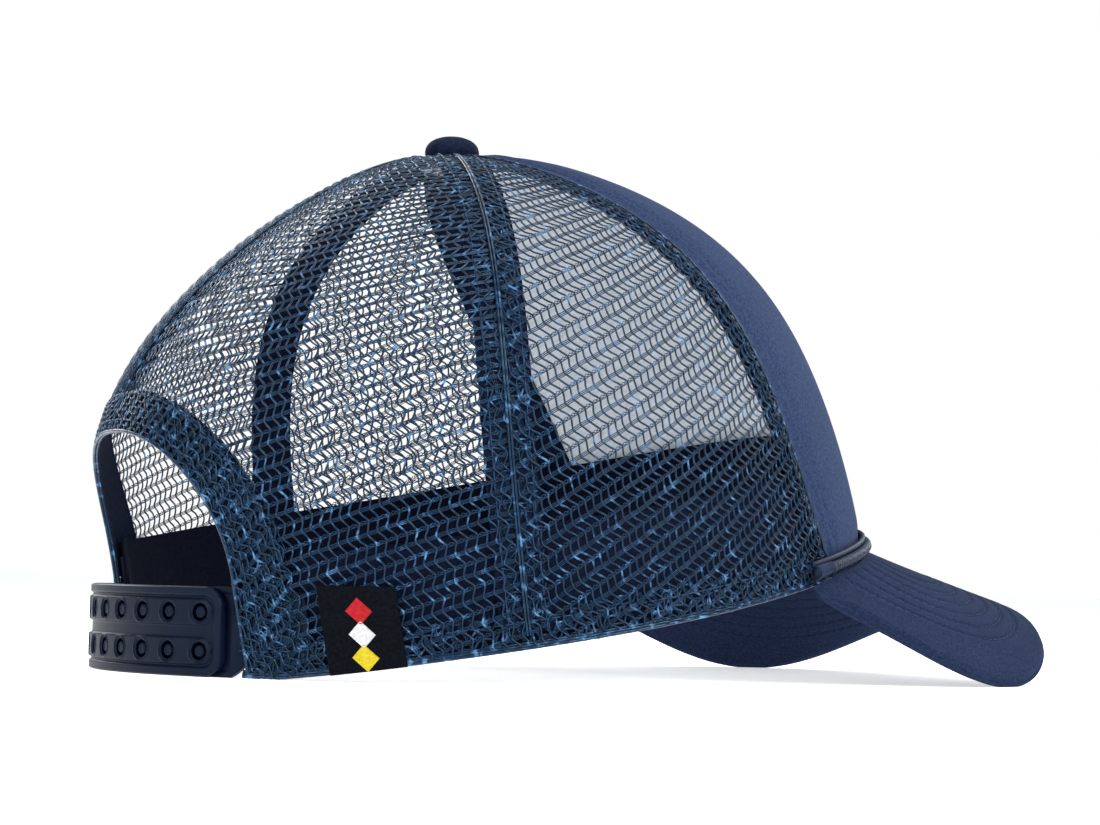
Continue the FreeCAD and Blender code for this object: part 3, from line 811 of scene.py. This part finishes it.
def cord_mesh(name, pts, nrm, R, lay=5.0, strands=3, sides=28, depth=0.14, mat=None, body="cap", node=None):
    t = np.gradient(pts, axis=0)
    t /= np.linalg.norm(t, axis=1, keepdims=True)
    nrm = nrm - (nrm * t).sum(1, keepdims=True) * t
    nrm /= np.linalg.norm(nrm, axis=1, keepdims=True)
    b = np.cross(t, nrm)
    L = np.concatenate([[0], np.cumsum(np.linalg.norm(np.diff(pts, axis=0), axis=1))])
    a = np.arange(sides) * 2 * math.pi / sides
    tw = L[:, None] / lay * 2 * math.pi
    rr = R * (1 - depth + depth * np.abs(np.cos((a[None, :] - tw) * strands / 2)) ** 0.7)
    rr = rr * (1 + 0.025 * np.sin((a[None, :] + tw * 3) * 7))
    end = np.minimum(ease(L / (R * 0.8)), ease((L[-1] - L) / (R * 0.8))) ** 0.5
    rr = rr * np.maximum(end, 0.01)[:, None]
    ring = pts[:, None, :] + (np.cos(a)[None, :, None] * b[:, None, :] + np.sin(a)[None, :, None] * nrm[:, None, :]) * rr[..., None]
    n_, k_ = ring.shape[:2]
    v_ = ring.reshape(-1, 3)
    i = np.arange(n_ - 1)[:, None]
    j = np.arange(k_)[None, :]
    f = np.stack([i * k_ + j, i * k_ + (j + 1) % k_, (i + 1) * k_ + (j + 1) % k_, (i + 1) * k_ + j], -1).reshape(-1, 4)
    uv = np.stack(np.meshgrid(np.linspace(0, 1, n_), np.linspace(0, 1, k_), indexing="ij"), -1).reshape(-1, 2)
    ob = make_mesh(name, m3(v_), f[:, ::-1], mat or M_ROPE, uv=uv, body=body)
    if node:
        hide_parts(node)
    return ob


th = np.linspace(-rad(57.5), rad(57.5), 900)
p, n = rope_pt(th, 1.95, 3.9)
cord_mesh("visor_rope_cord", p, n, 1.5, lay=4.2, node="visor_rope")
p, n = rope_pt(th, 1.05, 6.0)
cord_mesh("visor_rope_thin", p, n, 0.75, lay=3.0)
tb = Tubes()
for sg in (-1, 1):
    for i in range(10):
        t0 = sg * rad(52.6 + i * 0.47)
        pc, nn = rope_pt(np.array([t0]), 1.95, 3.9)
        p2, _ = rope_pt(np.array([t0 + 0.01]), 1.95, 3.9)
        d = (p2 - pc)[0]
        d /= np.linalg.norm(d)
        up = np.cross(d, nn[0])
        q = np.linspace(0, 2 * math.pi, 17)
        ring = pc + (np.cos(q)[:, None] * nn[0] + np.sin(q)[:, None] * up) * 1.62 + d * (0.30 * np.sin(q * 1 + i * 0.4))[:, None]
        tb.add(ring, np.cos(q)[:, None] * nn[0] + np.sin(q)[:, None] * up, 0.16, 0.16, 5)
ob = tb.build("rope_tack_threads", M_TACK)
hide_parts("rope_tacks")

# ================================================================ button


def lathe_grid(r, h, z0, nr=28, na=240, ridge=0.0, nrid=60, skirt=1.4):
    th = np.linspace(0, 2 * math.pi, na, endpoint=False)[:, None]
    q = np.concatenate([np.linspace(-0.25, 0, 4)[:-1], np.linspace(0, 1, nr)])[None, :]
    ang = np.clip(q, 0, 1) * math.pi / 2
    rr = r * np.cos(ang) * (1 - 0.0) - (q < 0) * (0.25 * r * 0.12)
    zz = z0 + h * np.sin(ang) ** 0.8 + np.minimum(q, 0) * skirt * 4
    wig = ridge * np.sin(th * nrid) * np.cos(ang) ** 0.6 * (1 - np.exp(-(rr / 1.4) ** 2))
    wig = wig + ridge * 0.6 * np.sin(th * nrid * 2.37 + 1.3) * np.cos(ang)
    rr = rr + wig * np.cos(ang)
    zz = zz + wig * np.sin(ang)
    return np.stack([rr * np.cos(th), APEX_Y + rr * np.sin(th), zz + 0 * th], -1)


g = lathe_grid(7.1, 4.7, TOP + 0.5, ridge=0.055, nrid=84)
nu, nv = g.shape[:2]
f = grid_idx(nu, nv, closed_u=True)
uv = np.stack(np.meshgrid(np.linspace(0, 1, nu), np.linspace(0, 1, nv), indexing="ij"), -1).reshape(-1, 2)
ob = make_mesh("button_dome", m3(g.reshape(-1, 3)), f, M_BUTTON, uv=uv)
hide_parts("button_cover")

# ================================================================ closure straps
ZMID = 11.0


def strap_xy(th, off):
    th = np.asarray(th, float)
    p = S(th, phi_at(th, ZMID))
    e_ = 0.01
    a, b = S(th - e_, phi_at(th - e_, ZMID)), S(th + e_, phi_at(th + e_, ZMID))
    t = (b - a)[..., :2]
    t /= np.linalg.norm(t, axis=-1, keepdims=True)
    n = np.stack([t[..., 1], -t[..., 0]], -1)
    s = np.where((n * p[..., :2]).sum(-1) < 0, -1.0, 1.0)
    n = n * s[..., None]
    off = np.asarray(off, float)
    return p[..., :2] + n * (off[..., None] if off.ndim else off), n


def o_in(d):
    return -0.25 - 1.5 * ease((d - 199.0) / 11.0)


L_ROOT, L_FREE, R_ROOT, R_FREE = 212.0, 148.6, 147.9, 197.6
HOLE_TH = 152.8 + 6.55 * np.arange(7)
HROWS = (6.1, 15.3)
ZS1 = 21.4
tg = np.radians(np.linspace(L_FREE, L_ROOT, 2001))
base, _ = strap_xy(tg, 0.0)
ARC = np.concatenate([[0], np.cumsum(np.linalg.norm(np.diff(base, axis=0), axis=1))])
H_ARC = np.interp(np.radians(HOLE_TH), tg, ARC)
STRAP_L = ARC[-1]


def rrect(s, z, s0, s1, z0, z1, r, r_far=None):
    """Signed distance (mm, negative inside) to a rectangle with round corners."""
    cx, cz = (s0 + s1) / 2, (z0 + z1) / 2
    hx, hz = (s1 - s0) / 2, (z1 - z0) / 2
    qx, qz = np.abs(s - cx) - hx + r, np.abs(z - cz) - hz + r
    return np.hypot(np.maximum(qx, 0), np.maximum(qz, 0)) + np.minimum(np.maximum(qx, qz), 0) - r


def relief_strap(name, inside, front, back, holes, to_theta, body, node, step=0.17, extra=()):
    """A moulded strap as one closed mesh: a fine grid, cut to the outline and the holes."""
    ns_ = int((to_theta[1] - to_theta[0]) / step)
    nz_ = int(ZS1 / step)
    s = np.linspace(to_theta[0], to_theta[1], ns_)[:, None] * np.ones((1, nz_))
    z = np.linspace(0.03, ZS1 - 0.03, nz_)[None, :] * np.ones((ns_, 1))
    ok = inside(s, z) < 0
    for hs, hz, hr in holes:
        ok &= np.hypot(s - hs, z - hz) > hr
    cell = ok[:-1, :-1] & ok[1:, :-1] & ok[:-1, 1:] & ok[1:, 1:]
    th_ = np.interp(s, ARC, tg) if body == "strap_holes" else np.interp(s, ARC_I, tgi)
    fo, bo_ = front(s, z, np.degrees(th_)), back(s, z, np.degrees(th_))
    pf, _ = strap_xy(th_, fo)
    pb, _ = strap_xy(th_, bo_)
    vf = np.concatenate([pf, z[..., None]], -1).reshape(-1, 3)
    vb = np.concatenate([pb, z[..., None]], -1).reshape(-1, 3)
    idx = np.arange(ns_ * nz_).reshape(ns_, nz_)
    a, b, c, d = idx[:-1, :-1][cell], idx[1:, :-1][cell], idx[1:, 1:][cell], idx[:-1, 1:][cell]
    quads = np.stack([a, b, c, d], -1)
    N0 = ns_ * nz_
    back_q = quads[:, ::-1] + N0
    # border edges of the cut grid
    pad = np.zeros((ns_ + 1, nz_ + 1), bool)
    pad[1:-1, 1:-1] = cell
    walls = []
    i, j = np.where(pad[1:, :-1][:, :] & ~pad[:-1, :-1][:, :])
    full = np.zeros((ns_ + 1, nz_ + 1), bool)
    full[1:ns_, 1:nz_] = cell
    ci, cj = np.where(cell)
    nb_ = lambda di, dj: full[ci + 1 + di, cj + 1 + dj]
    for di, dj, p1, p2 in ((-1, 0, (0, 1), (0, 0)), (1, 0, (1, 0), (1, 1)), (0, -1, (0, 0), (1, 0)), (0, 1, (1, 1), (0, 1))):
        m = ~nb_(di, dj)
        e1 = idx[ci[m] + p1[0], cj[m] + p1[1]]
        e2 = idx[ci[m] + p2[0], cj[m] + p2[1]]
        walls.append(np.stack([e2, e1, e1 + N0, e2 + N0], -1))
    faces = np.concatenate([quads, back_q] + walls)
    verts = np.concatenate([vf, vb])
    used = np.unique(faces)
    remap = np.full(len(verts), -1)
    remap[used] = np.arange(len(used))
    faces = remap[faces]
    uv = np.stack([s / STRAP_L, z / ZS1 * 0.45], -1).reshape(-1, 2)
    uv = np.concatenate([uv, uv + np.array([0, 0.5])])[used]
    verts = verts[used]
    n0 = np.cross(verts[faces[0, 1]] - verts[faces[0, 0]], verts[faces[0, 2]] - verts[faces[0, 0]])
    if n0[1] < 0:
        faces = faces[:, ::-1]
    ob = make_mesh(name, m3(verts), faces, M_STRAP, uv=uv, body=body)
    md = ob.modifiers.new("edge", "EDGE_SPLIT")
    md.split_angle = rad(50)
    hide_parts(node)
    return ob


def bump_edge(d, w):
    """1 inside (d < -w), 0 outside (d > 0), smooth between"""
    return ease(-d / w)


def hole_front(s, z, deg):
    o_ = o_in(deg) + 1.6
    out = rrect(s, z, 0.0, STRAP_L + 30, 0.0, ZS1, 5.2)
    edge = bump_edge(out, 0.35)
    border = (1 - bump_edge(out + 2.0, 0.5)) * ease((STRAP_L - 12 - s) / 4)
    h = 0.55 * border * 1.0
    for zc in HROWS:
        pad = rrect(s, z, H_ARC[0] - 3.7, H_ARC[-1] + 4.2, zc - 3.3, zc + 3.3, 3.0)
        h = h + 0.62 * bump_edge(pad, 0.4)
        for ha in H_ARC:
            dd = np.hypot(s - ha, z - zc)
            h = h - 0.30 * ease((2.75 - dd) / 0.25) + 0.16 * np.exp(-((dd - 2.85) / 0.16) ** 2)
    return o_ - 0.35 * (1 - edge) + h * edge


holes = [(ha, zc, 2.05) for ha in H_ARC for zc in HROWS]
relief_strap("snap_strap_outer", lambda s, z: rrect(s, z, 0.0, STRAP_L + 30, 0.0, ZS1, 5.2), hole_front,
             lambda s, z, d: o_in(d), holes, (0.0, STRAP_L), "strap_holes", "snap_strap_holes",
             step=0.19)

tgi = np.radians(np.linspace(R_ROOT, R_FREE, 2001))
bi_, _ = strap_xy(tgi, 0.0)
ARC_I = np.concatenate([[0], np.cumsum(np.linalg.norm(np.diff(bi_, axis=0), axis=1))])
HI_ARC = np.interp(np.radians(HOLE_TH), tgi, ARC_I)


def peg_front(s, z, deg):
    out = rrect(s, z, -30, ARC_I[-1], 0.0, ZS1, 5.0)
    edge = bump_edge(out, 0.3)
    border = 1 - bump_edge(out + 1.3, 0.35)
    h = 0.0 * border
    return -0.65 - 0.25 * (1 - edge) - 0.22 * (1 - border) * edge + h


relief_strap("snap_strap_inner", lambda s, z: rrect(s, z, -30, ARC_I[-1], 0.0, ZS1, 5.0), peg_front,
             lambda s, z, d: -2.05 + 0 * s, [], (0.0, ARC_I[-1]), "strap_pegs", "snap_strap_pegs",
             step=0.25)
# the pegs of the inner strap
vv_, ff_, nn_ = [], [], 0
prof = [(1.15, -0.9), (1.15, 0.35), (1.42, 0.75), (1.45, 1.25), (1.25, 1.5), (0.85, 1.55), (0.7, 1.42), (0.0, 1.42)]
for ht in np.radians(HOLE_TH):
    for zc in HROWS:
        c2, n2 = strap_xy(np.array(ht), 0.0)
        n3 = np.array([n2[0], n2[1], 0.0])
        tdir = np.array([-n2[1], n2[0], 0.0])
        a_ = np.arange(28) * 2 * math.pi / 28
        ring = []
        for r_, o_ in prof:
            ring.append(np.array([c2[0], c2[1], zc]) + n3 * o_ + (np.cos(a_)[:, None] * tdir + np.sin(a_)[:, None] * np.array([0, 0, 1.0])) * r_)
        ring = np.array(ring)
        k_ = len(a_)
        i_ = np.arange(len(prof) - 1)[:, None]
        j_ = np.arange(k_)[None, :]
        q_ = np.stack([i_ * k_ + j_, i_ * k_ + (j_ + 1) % k_, (i_ + 1) * k_ + (j_ + 1) % k_, (i_ + 1) * k_ + j_], -1).reshape(-1, 4)
        vv_.append(ring.reshape(-1, 3))
        ff_.append(q_ + nn_)
        nn_ += ring.size // 3
ob = make_mesh("snap_pegs", m3(np.concatenate(vv_)), np.concatenate(ff_), M_STRAP, body="strap_pegs")
md = ob.modifiers.new("edge", "EDGE_SPLIT")
md.split_angle = rad(40)

# sewn ends of both straps: full height, running in between the mesh and the sweatband
for nm, sg, o0, th_ in (("strap_tab_right", 1, -0.65, 1.4), ("strap_tab_left", -1, -0.20, 1.55)):
    a1 = 147.86
    uu_ = np.linspace(0, 1, 61)[:, None] * np.ones((1, 41))
    vv_ = np.linspace(0, 1, 41)[None, :] * np.ones((61, 1))
    deg_ = 135.0 + (a1 - 135.0) * uu_
    k_ = ease((deg_ - 145.9) / (a1 - 145.9))
    z_lo, z_hi = 3.0 + (0.2 - 3.0) * k_, 20.4 + (21.3 - 20.4) * k_
    zz_ = z_lo + (z_hi - z_lo) * vv_
    tr_ = np.radians(deg_)
    co, ci = crown(tr_, phi_at(tr_, zz_), -1.0 + 0 * zz_), crown(tr_, phi_at(tr_, zz_), -2.15 + 0 * zz_)
    so, _ = strap_xy(tr_, o0 + 0 * zz_)
    si, _ = strap_xy(tr_, o0 - th_ + 0 * zz_)
    so, si = np.concatenate([so, zz_[..., None]], -1), np.concatenate([si, zz_[..., None]], -1)
    go, gi = co * (1 - k_[..., None]) + so * k_[..., None], ci * (1 - k_[..., None]) + si * k_[..., None]
    if sg < 0:
        go, gi = go * np.array([-1, 1, 1.0]), gi * np.array([-1, 1, 1.0])
    ob = slab(nm + "_moulded", go, gi, M_STRAP)
    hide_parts(nm)

# ================================================================ woven label
LAB0, LAB1, LAB_Z = 121.7, 132.8, 22.4


def label_pt(u, z, off):
    th = np.radians(LAB0 + (LAB1 - LAB0) * u)
    return crown(th, phi_at(th, z), off)


un, vn = 61, 71
uu = np.linspace(0, 1, un)[:, None] * np.ones((1, vn))
vv = np.linspace(0, 1, vn)[None, :] * np.ones((un, 1))
zb = np.maximum(rim_z(np.radians(LAB0 + (LAB1 - LAB0) * uu)), 0) - 0.1
zz = zb + (LAB_Z - zb) * vv
weave = 0.035 * np.sin((uu * 19.0 + vv * 21.0) * 2 * math.pi * 0.9) + 0.02 * np.sin(vv * 21 * 2 * math.pi * 1.9)
lift = 0.55 + 0.25 * ease((vv - 0.75) / 0.25) + weave
o1 = slab("side_label_ribbon", label_pt(uu, zz, lift), label_pt(uu, zz, lift - 0.4), M_LABEL)
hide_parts("side_label")
label_pt(uu, zz, lift)


def flat_color(name, c0, c1):
    return fabric_mat(name, c0, c1, scale=1500, rough=0.6, sheen=0.2, bump=0.3, bump_scale=2200, dist=0.00004, spec=0.35)


M_RED = flat_color("woven_red", srgb(172, 20, 30), srgb(200, 34, 42))
M_WHITE = flat_color("woven_white", srgb(214, 216, 220), srgb(240, 240, 242))
M_YELLOW = flat_color("woven_yellow", srgb(214, 190, 30), srgb(236, 214, 50))


def diamond(name, uc, zc, hu, hz, mat):
    k = 13
    a = np.linspace(-1, 1, k)
    p, q = np.meshgrid(a, a, indexing="ij")
    du, dz = (p + q) / 2, (p - q) / 2
    u_ = uc + du * hu
    z_ = zc + dz * hz
    rib = 0.03 * np.sin(z_ * 2 * math.pi / 0.5)
    ob_ = slab(name, label_pt(u_, z_, 0.68 + rib + 0.25 * ease((z_ / LAB_Z - 0.75) / 0.25)), label_pt(u_, z_, 0.45 + 0 * u_), mat)
    return ob_


diamond("label_motif_a", 0.50, 16.6, 0.17, 3.2, M_RED)
diamond("label_motif_b", 0.50, 11.2, 0.17, 3.2, M_WHITE)
diamond("label_motif_c", 0.50, 5.8, 0.17, 3.2, M_YELLOW)

# ================================================================ edge rolls and topstitching
tb = Tubes()
te = Tubes()
tm = Tubes()


def mirror_pts(p):
    return p * np.array([-1, 1, 1.0])


for sg in (1, -1):
    # rolled rim of the mesh and side seams
    th = np.linspace(rad(THF0), rad(147.0), 500)
    for k, (oo, dz, rr) in enumerate(((-0.30, 0.45, 0.42), (-0.9, 0.55, 0.38), (-0.45, 1.05, 0.36), (-0.75, 1.6, 0.3))):
        ph = phi_at(th, np.maximum(rim_z(th), 0) + dz)
        p, n = crown(th, ph, oo + 0 * th), NRM(th, ph)
        wob = 0.10 * np.sin(th * 160 + k)
        p = p + n * wob[:, None]
        if sg < 0:
            p, n = mirror_pts(p), mirror_pts(n)
        te.add(p, n, rr, rr, 7)
    # rim topstitch
    ph = phi_at(th, np.maximum(rim_z(th), 0) + 6.5)
    p, n = crown(th, ph, 0.12 + 0 * th), NRM(th, ph)
    if sg < 0:
        p, n = mirror_pts(p), mirror_pts(n)
    stitches(tb, p, n)
    # seams: fold ridge and two topstitch rows
    for fn, lo in ((th_side, 0.03), (th_front, 0.03)):
        ph = np.linspace(lo, rad(84.0), 500)
        c = fn(ph)
        rt = np.linalg.norm(S(c + 0.004, ph) - S(c - 0.004, ph), axis=-1) / 0.008
        for d, r_ in ((-0.35, 0.33), (0.35, 0.33)):
            if fn is th_front and d < 0:
                continue
            p, n = crown(c + d / rt, ph, 0.02 + 0 * ph), NRM(c + d / rt, ph)
            p = p + n * (0.06 * np.sin(ph * 190 + d * 9))[:, None]
            if sg < 0:
                p, n = mirror_pts(p), mirror_pts(n)
            te.add(p, n, r_, r_ * 0.8, 6)
        ds = (-4.6, 4.6) if fn is th_side else (2.4,)
        for d in ds:
            ok = rt > 9
            p, n = crown((c + d / rt)[ok], ph[ok], 0.1 + 0 * ph[ok]), NRM((c + d / rt)[ok], ph[ok])
            if sg < 0:
                p, n = mirror_pts(p), mirror_pts(n)
            stitches(tb, p, n)
# centre back
ph = np.linspace(float(phi_at(np.array(math.pi), ARCH_H + 0.8)), rad(84), 400)
c = np.full(ph.shape, math.pi)
rt = np.linalg.norm(S(c + 0.004, ph) - S(c - 0.004, ph), axis=-1) / 0.008
for d in (-0.35, 0.35):
    p, n = crown(c + d / rt, ph, 0.02 + 0 * ph), NRM(c + d / rt, ph)
    te.add(p, n, 0.33, 0.27, 6)
for d in (-4.6, 4.6):
    ok = rt > 9
    p, n = crown((c + d / rt)[ok], ph[ok], 0.1 + 0 * ph[ok]), NRM((c + d / rt)[ok], ph[ok])
    stitches(tb, p, n)
# edge of the opening: a rolled edge and two rows of stitches
t = np.linspace(0.0, math.pi, 500)
for g, oo, rr in ((0.35, -0.25, 0.5), (0.45, -0.95, 0.45)):
    w, z = arch_curve(t, g)
    p, n = on_back(w, z, oo)
    te.add(p, n, rr, rr, 7)
for sg in (1, -1):
    z = np.linspace(0.6, ARCH_Z, 60)
    for g, oo, rr in ((0.35, -0.25, 0.5), (0.45, -0.95, 0.45)):
        p, n = on_back(sg * (ARCH_W + g) * np.ones(60), z, oo)
        te.add(p, n, rr, rr, 7)
for g in (3.0, 9.6):
    w, z = arch_curve(t, g)
    p, n = on_back(w, z, 0.2)
    stitches(tb, p, n)
te.build("mesh_edge_rolls", M_MESH)
tb.build("topstitching", M_THREAD)

# strap roots: two vertical rows of stitches through the mesh over each sewn tab
tb = Tubes()
for sg in (1, -1):
    for k in range(2):
        z = np.linspace(2.6, 20.0, 60)
        p, n = on_back(sg * (ARCH_W + 2.2 + 2.0 * k) * np.ones(60), z, 0.15)
        stitches(tb, p, n, length=1.7, gap=0.5, r=0.17)
tb.build("strap_root_stitches", M_THREAD)

# ================================================================ CAD nodes that stay: materials
KEEP = {"visor_board": M_BOARD, "button_shell": M_STEEL, "button_rivet": M_STEEL, "button_back_disc": M_STEEL,
        }
for name, mt in KEEP.items():
    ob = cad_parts[name]
    ob.data.materials.clear()
    ob.data.materials.append(mt)
for side in ("right", "left"):
    for which in ("side", "back"):
        nm = "mesh_panel_%s_%s" % (which, side)
        for suffix in ("_strands", "_filaments"):
            ob = bpy.data.objects.get(nm + suffix)
            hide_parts(nm)

# ================================================================ stage, light, camera
def stage_mat():
    m, nt, ns, ln, p = new_mat("studio_white")
    tc, no, cr = noise_color(nt, ns, ln, 3, (0.90, 0.90, 0.90, 1), (0.92, 0.92, 0.92, 1))
    ln.new(cr.outputs["Color"], p.inputs["Base Color"])
    p.inputs["Roughness"].default_value = 0.9
    p.inputs["Specular IOR Level"].default_value = 0.1
    p.inputs["Emission Color"].default_value = (1, 1, 1, 1)
    p.inputs["Emission Strength"].default_value = 0.55
    return m


bpy.ops.mesh.primitive_plane_add(size=60, location=(0, 0, 0))
floor = bpy.context.object
floor.name = "floor"
floor.data.materials.append(stage_mat())

world = bpy.data.worlds.new("studio")
bpy.context.scene.world = world
world.use_nodes = True
wn = world.node_tree
bg = wn.nodes["Background"]
bg.inputs["Color"].default_value = (1.0, 1.0, 1.0, 1)
bg.inputs["Strength"].default_value = 1.0
bg2 = wn.nodes.new("ShaderNodeBackground")
bg2.inputs["Color"].default_value = (0.93, 0.97, 1.0, 1)
bg2.inputs["Strength"].default_value = 0.5
lp = wn.nodes.new("ShaderNodeLightPath")
mxw = wn.nodes.new("ShaderNodeMixShader")
wn.links.new(lp.outputs["Is Camera Ray"], mxw.inputs["Fac"])
wn.links.new(bg2.outputs["Background"], mxw.inputs[1])
wn.links.new(bg.outputs["Background"], mxw.inputs[2])
wn.links.new(mxw.outputs["Shader"], wn.nodes["World Output"].inputs["Surface"])


def area(name, loc, target, size, power, color=(1, 1, 1)):
    li = bpy.data.lights.new(name, "AREA")
    li.shape = "RECTANGLE"
    li.size, li.size_y = size
    li.energy = power
    li.color = color
    ob_ = bpy.data.objects.new(name, li)
    bpy.context.scene.collection.objects.link(ob_)
    ob_.location = loc
    d = Vector(target) - Vector(loc)
    ob_.rotation_euler = d.to_track_quat("-Z", "Y").to_euler()
    return ob_


area("key", (-1.3, -0.5, 0.75), (0, 0, 0.06), (0.7, 0.5), 20)
area("top", (-0.1, 0.1, 1.5), (0, 0, 0.06), (1.2, 1.2), 16)
area("fill_back", (-0.5, 1.4, 0.6), (0, 0, 0.06), (0.6, 0.6), 10)
area("fill_front", (0.5, -1.4, 0.8), (0, 0, 0.06), (0.8, 0.8), 10)
area("fill_left", (1.4, 0.3, 0.8), (0, 0, 0.06), (0.8, 0.8), 10)

AZ, EL, DIST, ROLL, TX, TZ, FPX = 243.898, -3.5245, 729.575, 1.4059, 14.599, -0.8186, 2755.33
a_, e_, r_ = rad(AZ), rad(EL), rad(ROLL)
back_ = np.array([math.sin(a_) * math.cos(e_), -math.cos(a_) * math.cos(e_), math.sin(e_)])
right_ = np.cross(-back_, [0, 0, 1.0])
right_ /= np.linalg.norm(right_)
up_ = np.cross(right_, -back_)
R_ = math.cos(r_) * right_ + math.sin(r_) * up_
U_ = -math.sin(r_) * right_ + math.cos(r_) * up_
target = np.array([0, DY, 70.0]) + right_ * TX + np.array([0, 0, 1.0]) * TZ
C_ = (target + back_ * DIST) * 0.001
cam = bpy.data.cameras.new("camera")
cam_ob = bpy.data.objects.new("camera", cam)
bpy.context.scene.collection.objects.link(cam_ob)
cam.sensor_width = 36.0
cam.lens = FPX / 1100 * 36.0
cam.clip_start, cam.clip_end = 0.01, 200
cam_ob.matrix_world = Matrix(((R_[0], U_[0], back_[0], C_[0]), (R_[1], U_[1], back_[1], C_[1]), (R_[2], U_[2], back_[2], C_[2]), (0, 0, 0, 1)))
bpy.context.scene.camera = cam_ob
sc = bpy.context.scene
sc.view_settings.view_transform = "Standard"
sc.view_settings.look = "None"
sc.view_settings.exposure = 0.0
